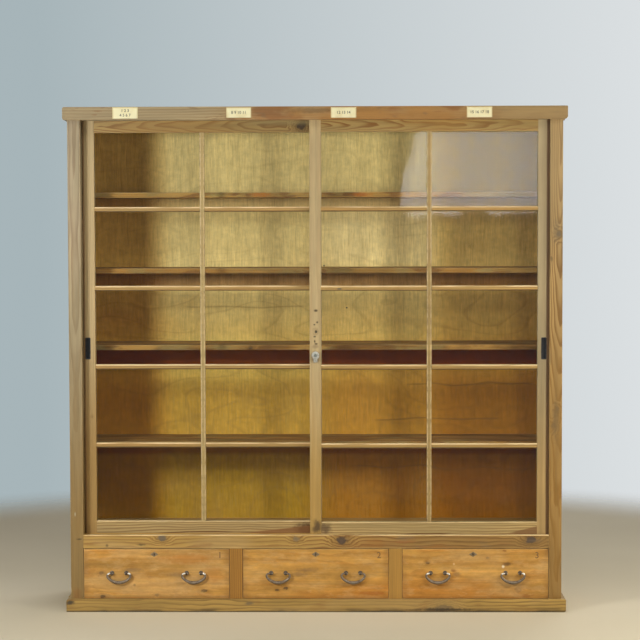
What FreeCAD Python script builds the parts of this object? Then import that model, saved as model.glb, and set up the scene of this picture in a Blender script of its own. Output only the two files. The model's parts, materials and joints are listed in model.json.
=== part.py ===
import FreeCAD, Part

import math
import os

import Sketcher
from FreeCAD import Placement, Rotation, Vector

# Mizuya kitchen cabinet: a post and rail carcass on a plinth, four shelves,
# two glazed sliding doors and three drawers with iron bail handles.
# Millimetres. X to the right, Y to the back, Z up. The origin lies under the middle of
# the whole outline, on the surface that the plinth stands on.

doc = FreeCAD.newDocument("mizuya_cabinet")
sheet = doc.addObject("Spreadsheet::Sheet", "Sizes")

# Driving dimensions
DRIVING = [
    ("overall_width", 1800.0, "top board and plinth, end to end"),
    ("overall_height", 1815.0, "floor to the top board"),
    ("carcass_depth", 420.0, "front of the posts to the back"),
    ("side_overhang", 15.0, "plinth and top beam past the posts"),
    ("front_overhang", 15.0, "plinth and top beam in front of the posts"),
    # Posts and their tenons
    ("post_width", 46.0, "front and back posts, seen from the front"),
    ("front_post_depth", 60.0, "front posts, front to back"),
    ("back_post_depth", 46.0, "back posts, front to back"),
    ("tenon_length", 18.0, "post tenon in the beam or the plinth"),
    ("tenon_shoulder", 11.0, "wood left round a post tenon"),
    # Plinth, sill, top
    ("plinth_height", 46.0, "plinth boards"),
    ("plinth_board_depth", 60.0, "plinth boards, seen from above"),
    ("bottom_thickness", 16.0, "board that the drawers run on"),
    ("bottom_rebate", 10.0, "bearing of that board on the plinth"),
    ("sill_height", 50.0, "rail between drawers and doors"),
    ("sill_underside", 228.0, "above the floor"),
    ("sill_depth", 80.0, "rail, front to back"),
    ("sill_tenon", 20.0, "sill rail tenon in a post"),
    ("sill_tenon_shoulder", 12.0, "wood above and below that tenon"),
    ("top_height", 47.0, "top beam and rails"),
    ("top_beam_depth", 95.0, "top beam, front to back"),
    ("top_rail_width", 50.0, "end and back rails of the top"),
    ("top_panel_thickness", 10.0, "panel let in the top frame"),
    ("top_panel_drop", 7.0, "panel below the frame's upper face"),
    ("panel_tongue", 8.0, "edge of a panel in its groove"),
    # Sides and back
    ("side_panel_thickness", 9.0, "panel boards of the ends"),
    ("side_panel_setback", 10.0, "panel behind the posts' outer face"),
    ("side_rail_height", 48.0, "rails of the ends"),
    ("side_rail_thickness", 26.0, "rails of the ends"),
    ("side_rail_setback", 2.0, "rail behind the posts' outer face"),
    ("middle_rail_gap", 12.5, "middle rail of the ends above the third shelf"),
    ("batten_thickness", 18.0, "battens behind the back sheets"),
    ("batten_width", 60.0, "battens behind the back sheets"),
    ("back_thickness", 6.0, "plywood back sheets"),
    ("back_bearing", 20.0, "back sheet edge on a post"),
    # Shelves and floor of the glazed part
    ("shelf_1_rise", 71.6, "highest shelf above the lower edge of the highest glazing bar"),
    ("shelf_2_rise", 78.7, "second shelf above the lower edge of the second bar"),
    ("shelf_3_rise", 81.8, "third shelf above the lower edge of the third bar"),
    ("shelf_4_rise", 9.9, "lowest shelf above the lower edge of the lowest bar"),
    ("shelf_thickness", 18.5, "shelf boards"),
    ("shelf_setback", 145.0, "shelf edge behind the posts' front"),
    ("cleat_height", 22.0, "bearers under the shelf ends"),
    ("cleat_width", 20.0, "bearers under the shelf ends"),
    ("floor_thickness", 15.0, "floor board of the glazed part"),
    # Drawer bay
    ("divider_width", 47.5, "uprights between the drawers"),
    ("divider_depth", 60.0, "uprights between the drawers, front to back"),
    ("divider_tenon", 9.0, "divider tenon in the sill or the plinth"),
    ("partition_thickness", 20.0, "boards behind the dividers"),
    ("guide_height", 40.0, "drawer guides"),
    ("stop_depth", 12.0, "drawer stops, front to back"),
    ("stop_height", 26.0, "drawer stops"),
    ("stop_width", 80.0, "drawer stops"),
    ("stop_gap", 2.2, "drawer stops off the back sheet"),
    # Sliding doors
    ("door_recess", 12.0, "front door behind the posts' front"),
    ("door_thickness", 27.0, "stiles and rails"),
    ("door_gap", 3.0, "between the two doors"),
    ("door_end_gap", 0.5, "right door off its post"),
    ("left_door_stand_off", 3.0, "left door off its post"),
    ("meeting_overlap_edge", 20.0, "right door's edge past the middle"),
    ("track_depth", 4.0, "tracks in the sill"),
    ("head_groove_depth", 15.0, "door grooves in the top beam"),
    ("head_entry", 10.0, "door edge in its upper groove"),
    ("door_seat", 0.3, "door above the floor of its track"),
    ("track_play", 0.5, "door to each side of its groove"),
    ("stile_width", 41.0, "door stiles"),
    ("top_rail_face", 42.5, "door top rail below the beam"),
    ("bottom_rail_face", 45.0, "door bottom rail above the sill"),
    ("rail_tenon", 28.0, "door rail tenon in a stile"),
    ("rail_tenon_thickness", 9.0, "door rail tenon"),
    ("rail_tenon_shoulder", 9.0, "rail height outside its tenon"),
    ("bar_height", 18.0, "level glazing bars"),
    ("upright_bar_width", 17.0, "upright glazing bars"),
    ("bar_setback", 1.5, "glazing bars behind the door's face"),
    ("bar_thickness", 22.0, "glazing bars, front to back"),
    ("bar_housing", 6.0, "bar end in a stile or rail"),
    ("pane_rows", 5.0, "rows of glass in a door"),
    ("glass_thickness", 2.5, "panes"),
    ("glass_groove", 5.0, "depth of the glass grooves"),
    ("glass_play", 0.3, "pane to each side of its groove"),
    # Finger pulls and door lock
    ("pull_width", 16.0, "cup of a finger pull"),
    ("pull_height", 76.0, "cup of a finger pull"),
    ("pull_depth", 9.0, "cup of a finger pull"),
    ("pull_wall", 1.2, "cup wall and floor"),
    ("pull_rim", 1.6, "flange round the cup"),
    ("pull_rim_thickness", 0.8, "flange proud of the stile"),
    ("pull_corner", 4.0, "corner radius of the flange"),
    ("pull_rise", 671.5, "middle of the finger pulls above the sill"),
    ("left_pull_offset", 6.5, "left pull off the middle of its stile, outwards"),
    ("right_pull_offset", 2.0, "right pull off the middle of its stile, outwards"),
    ("lock_rise", 647.0, "middle of the door lock above the sill"),
    ("lock_plate_radius", 14.0, "round of the lock plate"),
    ("lock_plate_tail", 7.0, "half width of the plate's tail"),
    ("lock_plate_drop", 25.0, "tail end below the plug"),
    ("lock_plate_thickness", 1.6, "lock plate"),
    ("lock_boss_radius", 10.5, "raised round of the lock"),
    ("lock_boss_height", 3.0, "raised round in front of the plate"),
    ("lock_barrel_radius", 8.5, "lock barrel through the stile"),
    ("plug_radius", 6.0, "turning plug"),
    ("plug_play", 0.06, "plug in its barrel"),
    ("plug_back_wall", 4.0, "barrel behind the plug"),
    ("keyway_width", 1.6, "slot in the plug"),
    ("keyway_height", 8.0, "slot in the plug"),
    ("keyway_depth", 12.0, "slot in the plug"),
    # Drawers
    ("drawer_recess", 1.5, "drawer face behind the posts' front"),
    ("drawer_side_gap", 1.0, "drawer to each side of its opening"),
    ("drawer_top_gap", 2.0, "drawer below the sill"),
    ("drawer_seat", 0.3, "drawer above its runner"),
    ("drawer_front_thickness", 20.0, "drawer front"),
    ("drawer_side_thickness", 12.0, "drawer sides and back"),
    ("drawer_lap", 11.0, "drawer side let in the front"),
    ("drawer_bottom_thickness", 8.0, "drawer bottom"),
    ("drawer_side_drop", 4.0, "sides below the front's upper edge"),
    # Drawer locks
    ("keyhole_drop", 21.0, "keyholes below the sill"),
    ("lock_1_offset", -8.0, "left lock off the middle of its drawer"),
    ("lock_2_offset", 0.0, "middle lock off the middle of its drawer"),
    ("lock_3_offset", -8.0, "right lock off the middle of its drawer"),
    ("key_plate_width", 30.0, "diamond plate"),
    ("key_plate_height", 19.0, "diamond plate"),
    ("key_plate_thickness", 1.0, "diamond plate"),
    ("key_slot_width", 3.6, "keyhole"),
    ("key_slot_height", 11.0, "keyhole"),
    ("lock_case_width", 54.0, "drawer lock case"),
    ("lock_case_height", 34.0, "drawer lock case"),
    ("lock_case_depth", 10.0, "drawer lock case"),
    ("bolt_width", 16.0, "drawer lock bolt"),
    ("bolt_thickness", 5.0, "drawer lock bolt"),
    ("bolt_height", 24.0, "drawer lock bolt"),
    ("bolt_play", 0.4, "bolt in its channel"),
    ("bolt_throw", 8.0, "travel of the bolt"),
    ("bolt_drop", 0.5, "bolt below the front's upper edge"),
    ("bolt_end_play", 1.0, "mortise in the sill deeper than that travel"),
    # Bail handles
    ("handle_offset", 135.0, "handles off the middle of a drawer"),
    ("handle_drop", 89.0, "bail pivots below the sill"),
    ("handle_stand_off", 12.0, "bail pivot in front of the drawer"),
    ("bail_half_width", 41.8, "bail centre line, middle to side"),
    ("bail_fall", 32.5, "pivot to the bail's lowest centre line"),
    ("bail_tip", 20.0, "bail tip off the middle"),
    ("bail_shoulder_radius", 8.0, "bend beside a pivot"),
    ("bail_side_radius", 13.0, "bend at the bail's side"),
    ("bail_end_radius", 3.0, "bail section at its tips"),
    ("bail_grip_radius", 5.4, "bail section at its middle"),
    ("post_spread", 52.0, "between the two handle posts"),
    ("eye_radius", 6.5, "ring at the head of a handle post"),
    ("eye_thickness", 6.0, "ring at the head of a handle post"),
    ("eye_play", 0.3, "bail in the ring"),
    ("shank_width", 5.0, "handle post in the drawer front"),
    ("rosette_radius", 8.0, "washer on the drawer's face"),
    ("rosette_thickness", 1.4, "washer on the drawer's face"),
    ("clinch_length", 22.0, "spread legs inside the drawer"),
    ("clinch_thickness", 1.6, "spread legs inside the drawer"),
]
for row, (alias, value, meaning) in enumerate(DRIVING, start=1):
    sheet.set(f"A{row}", meaning)
    sheet.set(f"B{row}", str(value))
    sheet.setAlias(f"B{row}", alias)
doc.recompute()

DRAWERS = 3
BEND_STEPS = 4
BAIL_SIDES = 8
WASHER_SIDES = 12
SWELL_SHARE = 0.8


class Size:
    """A length with its value and the expression that binds it to the sheet."""

    def __init__(self, text, value):
        self.text = text
        self.value = value

    def __add__(self, other):
        return Size(f"({self.text} + {as_size(other).text})", self.value + as_size(other).value)

    def __sub__(self, other):
        return Size(f"({self.text} - {as_size(other).text})", self.value - as_size(other).value)

    def __mul__(self, other):
        return Size(f"({self.text} * {as_size(other).text})", self.value * as_size(other).value)

    def __truediv__(self, other):
        return Size(f"({self.text} / {as_size(other).text})", self.value / as_size(other).value)

    def __neg__(self):
        return Size(f"(0 - {self.text})", -self.value)


class Sheet:
    """size.alias gives the driving dimension of that name."""

    def __getattr__(self, alias):
        return Size("Sizes." + alias, sheet.get(alias))


def as_size(thing):
    return thing if isinstance(thing, Size) else Size(repr(thing), thing)


size = Sheet()
ZERO = Size("0", 0.0)
nodes = []
SAME_PLACE = 1e-6


# Solids and the ways they are joined and cut
def box(name, across, deep, up):
    """A board between two values along X, Y and Z."""
    board = doc.addObject("Part::Box", name)
    for prop, (low, high) in zip(("Length", "Width", "Height"), (across, deep, up)):
        board.setExpression(prop, (high - low).text)
    for axis, (low, _) in zip("xyz", (across, deep, up)):
        board.setExpression("Placement.Base." + axis, low.text)
    return board


def group(name, pieces):
    bundle = doc.addObject("Part::Compound", name)
    bundle.Links = pieces
    return bundle


def cut(name, base, *tools):
    for number, tool in enumerate(tools, start=1):
        result = doc.addObject("Part::Cut", f"{name}_{number}")
        result.Base = base
        result.Tool = tool
        base = result
    return base


def fuse(name, *pieces):
    whole = doc.addObject("Part::MultiFuse", name)
    whole.Shapes = list(pieces)
    return whole


def node(label, piece):
    """A sub-part that is handed on under this name."""
    piece.Label = label
    nodes.append(piece)
    return piece


def about(middle, width):
    return middle - width / 2, middle + width / 2


def move_to(piece, x, y, z):
    for axis, value in zip("xyz", (x, y, z)):
        piece.setExpression("Placement.Base." + axis, value.text)
    return piece


# Sketches on a body's own planes
def new_sketch(body, name, role, lift=None):
    sketch = body.newObject("Sketcher::SketchObject", name)
    plane = next(item for item in body.Origin.OriginFeatures if item.Role == role)
    sketch.AttachmentSupport = (plane, [""])
    sketch.MapMode = "FlatFace"
    if lift is not None:
        sketch.setExpression("AttachmentOffset.Base.z", lift.text)
    return sketch


def bind_point(sketch, edge, end, point):
    """Holds one end of an edge at its distances from the sketch's origin."""
    for kind, distance in zip(("DistanceX", "DistanceY"), point):
        index = sketch.addConstraint(Sketcher.Constraint(kind, -1, 1, edge, end, distance.value))
        sketch.setExpression(f"Constraints[{index}]", distance.text)


def draw_outline(sketch, points):
    """A closed outline of straight edges through the points."""
    places = [Vector(x.value, y.value, 0) for x, y in points]
    edges = [
        sketch.addGeometry(Part.LineSegment(place, following))
        for place, following in zip(places, places[1:] + places[:1])
    ]
    for edge, following in zip(edges, edges[1:] + edges[:1]):
        sketch.addConstraint(Sketcher.Constraint("Coincident", edge, 2, following, 1))
    for edge, point in zip(edges, points):
        bind_point(sketch, edge, 1, point)


def draw_circle(sketch, x, y, radius):
    index = sketch.addGeometry(Part.Circle(Vector(x.value, y.value, 0), Vector(0, 0, 1), radius.value))
    bind_point(sketch, index, 3, (x, y))
    bound = sketch.addConstraint(Sketcher.Constraint("Radius", index, radius.value))
    sketch.setExpression(f"Constraints[{bound}]", radius.text)


def rectangle(across, up):
    return [(across[0], up[0]), (across[1], up[0]), (across[1], up[1]), (across[0], up[1])]


def many_sided(radius):
    """A nearly round outline with few faces, for ironwork that is repeated."""
    turns = [2 * math.pi * number / WASHER_SIDES for number in range(WASHER_SIDES)]
    return [(radius * math.cos(turn), radius * math.sin(turn)) for turn in turns]


def upright_sketch(body, name, depth, outlines):
    """Outlines on the body's XZ plane, moved back to a depth."""
    sketch = new_sketch(body, name + "_sketch", "XZ_Plane", -depth)
    for outline in outlines:
        draw_outline(sketch, outline)
    return sketch


def pad_between(body, name, deep, *outlines):
    """Adds a form between two depths."""
    pad = body.newObject("PartDesign::Pad", name)
    pad.Profile = upright_sketch(body, name, deep[0], outlines)
    pad.setExpression("Length", (deep[1] - deep[0]).text)
    pad.Reversed = True
    return pad


def pocket_between(body, name, deep, *outlines):
    """Cuts outlines between two depths, and makes sure that wood or iron was there."""
    doc.recompute()
    before = body.Tip.Shape.Volume
    pocket = body.newObject("PartDesign::Pocket", name)
    pocket.Profile = upright_sketch(body, name, deep[0], outlines)
    pocket.setExpression("Length", (deep[1] - deep[0]).text)
    doc.recompute()
    if not pocket.Shape.Volume < before:
        raise RuntimeError(f"{body.Label}: {name} cuts nothing")
    return pocket


# Planes that the whole cabinet is set out from
reach = size.handle_stand_off + size.eye_radius - size.drawer_recess
front = (reach - size.carcass_depth) / 2
back = front + size.carcass_depth
overhang_front = front - size.front_overhang
end_right = size.overall_width / 2
outer_right = end_right - size.side_overhang
inner_right = outer_right - size.post_width
top = size.overall_height
beam_underside = top - size.top_height
floor_line = size.plinth_height
sill_top = size.sill_underside + size.sill_height
sheet_back = back - size.batten_thickness
sheet_front = sheet_back - size.back_thickness
front_post_back = front + size.front_post_depth
back_post_front = back - size.back_post_depth
beam_back = overhang_front + size.top_beam_depth
sill_back = front + size.sill_depth
panel_outer = outer_right - size.side_panel_setback
panel_inner = panel_outer - size.side_panel_thickness
opening_width = (inner_right * 2 - size.divider_width * (DRAWERS - 1)) / DRAWERS
divider_middle = (opening_width + size.divider_width) / 2
pull_level = sill_top + size.pull_rise
lock_level = sill_top + size.lock_rise
keyhole_level = size.sill_underside - size.keyhole_drop
handle_level = size.sill_underside - size.handle_drop


# Set-out of the doors
door_bottom = sill_top - size.track_depth + size.door_seat
door_top = beam_underside + size.head_entry
glass_bottom = sill_top + size.bottom_rail_face
glass_top = beam_underside - size.top_rail_face
pane_rows = int(size.pane_rows.value)
pane_height = (glass_top - glass_bottom - size.bar_height * (size.pane_rows - 1)) / size.pane_rows
door_width = inner_right - size.door_end_gap + size.meeting_overlap_edge


def bar_span(number):
    """Lower and upper edge of a level bar, counted from the bottom."""
    low = glass_bottom + pane_height * number + size.bar_height * (number - 1)
    return low, low + size.bar_height


def shelf_top(number):
    """Upper face of a shelf, counted from the highest. Each stands near a level bar of the doors."""
    return bar_span(pane_rows - number)[0] + getattr(size, f"shelf_{number}_rise")


def on_side(sign, low, high):
    """A span on the right, or its mirror image on the left."""
    return (low, high) if sign > 0 else (-high, -low)


SIDES = (("left", -1), ("right", 1))


# Plinth: four boards that carry the posts, rebated for the bottom board
def make_plinth():
    inner_x = end_right - size.plinth_board_depth
    inner_front = overhang_front + size.plinth_board_depth
    inner_back = back - size.plinth_board_depth
    up = (ZERO, size.plinth_height)
    board = box(
        "bottom_board",
        (-inner_x - size.bottom_rebate, inner_x + size.bottom_rebate),
        (inner_front - size.bottom_rebate, inner_back + size.bottom_rebate),
        (size.plinth_height - size.bottom_thickness, size.plinth_height),
    )
    blanks = [
        box("plinth_front", (-end_right, end_right), (overhang_front, inner_front), up),
        box("plinth_left", (-end_right, -inner_x), (inner_front, back), up),
        box("plinth_right", (inner_x, end_right), (inner_front, back), up),
        box("plinth_back", (-inner_x, inner_x), (inner_back, back), up),
    ]
    return blanks, board


# Posts, with a tenon at each end
def make_post(name, sign, deep, tenon_deep):
    across = on_side(sign, inner_right, outer_right)
    shoulder = size.tenon_shoulder
    body = box(name + "_blank", across, deep, (floor_line, beam_underside))
    tenon = box(
        name + "_tenon",
        (across[0] + shoulder, across[1] - shoulder),
        tenon_deep,
        (floor_line - size.tenon_length, beam_underside + size.tenon_length),
    )
    return fuse(name + "_stock", body, tenon)


# Rail over the drawers, with two tracks for the doors
def door_planes(track):
    """Front and back plane of the door in track 0, the front one, or track 1."""
    face = front + size.door_recess + (size.door_thickness + size.door_gap) * track
    return face, face + size.door_thickness


def groove(name, track, up):
    face, rear = door_planes(track)
    return box(name, (-inner_right, inner_right), (face - size.track_play, rear + size.track_play), up)


def make_sill():
    up = (size.sill_underside, sill_top)
    middle = box("sill_middle", (-inner_right, inner_right), (front, sill_back), up)
    shoulder = size.sill_tenon_shoulder
    tenon = box(
        "sill_tenon",
        (-inner_right - size.sill_tenon, inner_right + size.sill_tenon),
        (front + shoulder, front_post_back - shoulder),
        (up[0] + shoulder, up[1] - shoulder),
    )
    stock = fuse("sill_stock", middle, tenon)
    tracks = [groove(f"track_{n}", n, (sill_top - size.track_depth, sill_top)) for n in (0, 1)]
    return cut("sill", stock, group("tracks", tracks))


def drawer_middle(number):
    return (opening_width + size.divider_width) * (number - (DRAWERS + 1) // 2)


def lock_middle(number):
    return drawer_middle(number) + getattr(size, f"lock_{number}_offset")


# Depths in a drawer's lock, from the front plane of the cabinet
drawer_face = front + size.drawer_recess
front_rear = drawer_face + size.drawer_front_thickness
case_front = front_rear - size.lock_case_depth
bolt_middle = case_front + size.lock_case_depth / 2
bolt_deep = about(bolt_middle, size.bolt_thickness)
bolt_hole_deep = about(bolt_middle, size.bolt_thickness + size.bolt_play * 2)
drawer_bottom = floor_line + size.drawer_seat
drawer_top = size.sill_underside - size.drawer_top_gap
bolt_top = drawer_top - size.bolt_drop
drawer_width = opening_width - size.drawer_side_gap * 2
stop_front = sheet_front - size.stop_gap - size.stop_depth
drawer_rear = stop_front - size.drawer_seat


def bolt_mortises():
    return [
        box(
            f"bolt_mortise_{number}",
            about(lock_middle(number), size.bolt_width + size.bolt_play * 2),
            bolt_hole_deep,
            (size.sill_underside, size.sill_underside + size.bolt_throw + size.bolt_end_play),
        )
        for number in range(1, DRAWERS + 1)
    ]


def make_dividers():
    """The uprights between the drawers, tenoned up and down."""
    pieces = []
    for side, sign in SIDES:
        across = about(divider_middle * sign, size.divider_width)
        deep = (front, front + size.divider_depth)
        upright = box(f"{side}_divider_blank", across, deep, (floor_line, size.sill_underside))
        tenon = box(
            f"{side}_divider_tenon",
            about(divider_middle * sign, size.divider_width / 2),
            about(front + size.divider_depth / 4, size.divider_depth / 4),
            (floor_line - size.divider_tenon, size.sill_underside + size.divider_tenon),
        )
        pieces.append(fuse(f"{side}_divider", upright, tenon))
    return pieces


# Carcass behind the front frame
def make_partitions():
    """Boards behind the dividers, guides beside the drawers and a stop behind each."""
    pieces = []
    floor_underside = sill_top - size.floor_thickness
    guide_up = (floor_line, floor_line + size.guide_height)
    divider_back = front + size.divider_depth
    for side, sign in SIDES:
        middle = divider_middle * sign
        board = about(middle, size.partition_thickness)
        faces = about(middle, size.divider_width)
        under_sill = (floor_line, size.sill_underside)
        pieces.append(box(f"{side}_partition_low", board, (divider_back, sill_back), under_sill))
        behind_sill = (sill_back, sheet_front)
        pieces.append(box(f"{side}_partition", board, behind_sill, (floor_line, floor_underside)))
        pieces.append(box(f"{side}_guide_a", (faces[0], board[0]), (divider_back, back_post_front), guide_up))
        pieces.append(box(f"{side}_guide_b", (board[1], faces[1]), (divider_back, back_post_front), guide_up))
        outer = on_side(sign, inner_right, outer_right - size.side_rail_setback - size.side_rail_thickness)
        pieces.append(box(f"{side}_guide_c", outer, (front_post_back, back_post_front), guide_up))
    for number in range(1, DRAWERS + 1):
        pieces.append(
            box(
                f"drawer_stop_{number}",
                about(drawer_middle(number), size.stop_width),
                (stop_front, stop_front + size.stop_depth),
                (floor_line, floor_line + size.stop_height),
            )
        )
    return pieces


# Undersides of the four rails in an end, from the lowest
floor_rail = sill_top - size.floor_thickness - size.side_rail_height
head_rail = beam_underside - size.side_rail_height
middle_rail = shelf_top(3) + size.middle_rail_gap
END_RAILS = [floor_line, floor_rail, middle_rail, head_rail]


def make_ends():
    """Rails and panels between the front and the back post of each end."""
    rails, panels = [], []
    for side, sign in SIDES:
        rail_x = on_side(
            sign,
            outer_right - size.side_rail_setback - size.side_rail_thickness,
            outer_right - size.side_rail_setback,
        )
        panel_x = on_side(sign, panel_inner, panel_outer)
        for number, level in enumerate(END_RAILS, start=1):
            deep = (front_post_back, back_post_front)
            rails.append(box(f"{side}_rail_{number}", rail_x, deep, (level, level + size.side_rail_height)))
        for number, (low, high) in enumerate(zip(END_RAILS, END_RAILS[1:]), start=1):
            up = (low + size.side_rail_height - size.panel_tongue, high + size.panel_tongue)
            deep = (front_post_back - size.panel_tongue, back_post_front + size.panel_tongue)
            panels.append(box(f"{side}_panel_{number}", panel_x, deep, up))
    return rails, panels


def make_back():
    """Two sheets that meet in the middle, and the battens nailed over them."""
    edge = inner_right + size.back_bearing
    up = (floor_line, beam_underside)
    sheets = [
        box("left_back_sheet", (-edge, ZERO), (sheet_front, sheet_back), up),
        box("right_back_sheet", (ZERO, edge), (sheet_front, sheet_back), up),
    ]
    deep = (sheet_back, back)
    battens = [box("middle_batten", about(ZERO, size.batten_width), deep, up)]
    levels = [floor_line, middle_rail, beam_underside - size.batten_width]
    for side, sign in SIDES:
        across = on_side(sign, size.batten_width / 2, edge)
        for number, level in enumerate(levels, start=1):
            battens.append(box(f"{side}_batten_{number}", across, deep, (level, level + size.batten_width)))
    return sheets, battens


def make_top():
    """Beam over the doors, end and back rails, and the panel let in between them."""
    up = (beam_underside, top)
    inner_x = end_right - size.top_rail_width
    inner_back = back - size.top_rail_width
    beam = box("beam_blank", (-end_right, end_right), (overhang_front, beam_back), up)
    rails = [
        box("top_left_rail_blank", (-end_right, -inner_x), (beam_back, back), up),
        box("top_right_rail_blank", (inner_x, end_right), (beam_back, back), up),
        box("top_back_rail_blank", (-inner_x, inner_x), (inner_back, back), up),
    ]
    tongue = size.panel_tongue
    panel_top = top - size.top_panel_drop
    panel = box(
        "top_panel",
        (-inner_x - tongue, inner_x + tongue),
        (beam_back - tongue, inner_back + tongue),
        (panel_top - size.top_panel_thickness, panel_top),
    )
    groove_up = (beam_underside, beam_underside + size.head_groove_depth)
    grooves = [groove(f"head_groove_{n}", n, groove_up) for n in (0, 1)]
    return beam, rails, panel, group("head_grooves", grooves)


def make_carcass():
    plinth_blanks, bottom_board = make_plinth()
    beam, top_rails, top_panel, head_grooves = make_top()
    sill = make_sill()
    dividers = make_dividers()
    rails, panels = make_ends()
    sheets, battens = make_back()
    posts = {}
    shoulder = size.tenon_shoulder
    front_tenon = (front + shoulder * 2, front_post_back - shoulder)
    back_tenon = (back_post_front + shoulder, back - shoulder * 2)
    for side, sign in SIDES:
        posts["front_" + side] = make_post(f"front_{side}_post", sign, (front, front_post_back), front_tenon)
        posts["back_" + side] = make_post(f"back_{side}_post", sign, (back_post_front, back), back_tenon)
    all_posts = group("post_stocks", list(posts.values()))
    all_panels = group("panel_blanks", panels)
    divider_group = node("drawer_dividers", group("divider_pair", dividers))

    plinth_seats = group("plinth_seats", [bottom_board, all_posts, divider_group])
    plinth = [cut(blank.Name + "_board", blank, plinth_seats) for blank in plinth_blanks]
    node("plinth", group("plinth_boards", plinth))
    node("bottom_board", bottom_board)
    sill_cuts = group("sill_cuts", bolt_mortises() + [divider_group])
    sill_rail = node("sill_rail", cut("sill_rail", sill, sill_cuts))
    for side, _ in SIDES:
        seats = group(f"{side}_post_seats", [sill_rail, all_panels])
        node(f"front_{side}_post", cut(f"front_{side}_post_cut", posts["front_" + side], seats))
    back_cuts = group("back_cuts", sheets + battens + [all_panels])
    back_posts = [cut(f"back_{side}_post_cut", posts["back_" + side], back_cuts) for side, _ in SIDES]
    node("back_posts", group("back_post_pair", back_posts))
    side_rails = [cut(rail.Name + "_grooved", rail, all_panels) for rail in rails]
    node("side_rails", group("side_rail_set", side_rails))
    node("side_panels", all_panels)
    node("drawer_partitions", group("partition_set", make_partitions()))
    node("back_sheets", group("back_sheet_pair", sheets))
    node("back_battens", group("batten_set", battens))
    node("top_beam", cut("top_beam_cut", beam, head_grooves, group("beam_cuts", [all_posts, top_panel])))
    rail_cuts = group("top_rail_cuts", [all_posts, top_panel])
    node("top_rails", group("top_rail_set", [cut(rail.Name + "_cut", rail, rail_cuts) for rail in top_rails]))
    node("top_panel", top_panel)
    make_shelves(all_posts)


def make_shelves(all_posts):
    """Shelves on end cleats, and the floor of the glazed part."""
    across = (-panel_inner, panel_inner)
    rail_inner = outer_right - size.side_rail_setback - size.side_rail_thickness
    floor_up = (sill_top - size.floor_thickness, sill_top)
    floor_blank = box("floor_blank", (-rail_inner, rail_inner), (sill_back, sheet_front), floor_up)
    node("display_floor", cut("display_floor_cut", floor_blank, all_posts))
    cleats = []
    for number in range(1, pane_rows):
        upper = shelf_top(number)
        lower = upper - size.shelf_thickness
        deep = (front + size.shelf_setback, sheet_front)
        blank = box(f"shelf_{number}_blank", across, deep, (lower, upper))
        node(f"shelf_{number}", cut(f"shelf_{number}_cut", blank, all_posts))
        for side, sign in SIDES:
            cleats.append(
                box(
                    f"{side}_cleat_{number}",
                    on_side(sign, panel_inner - size.cleat_width, panel_inner),
                    (front_post_back, back_post_front),
                    (lower - size.cleat_height, lower),
                )
            )
    node("shelf_cleats", group("cleat_set", cleats))


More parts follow.
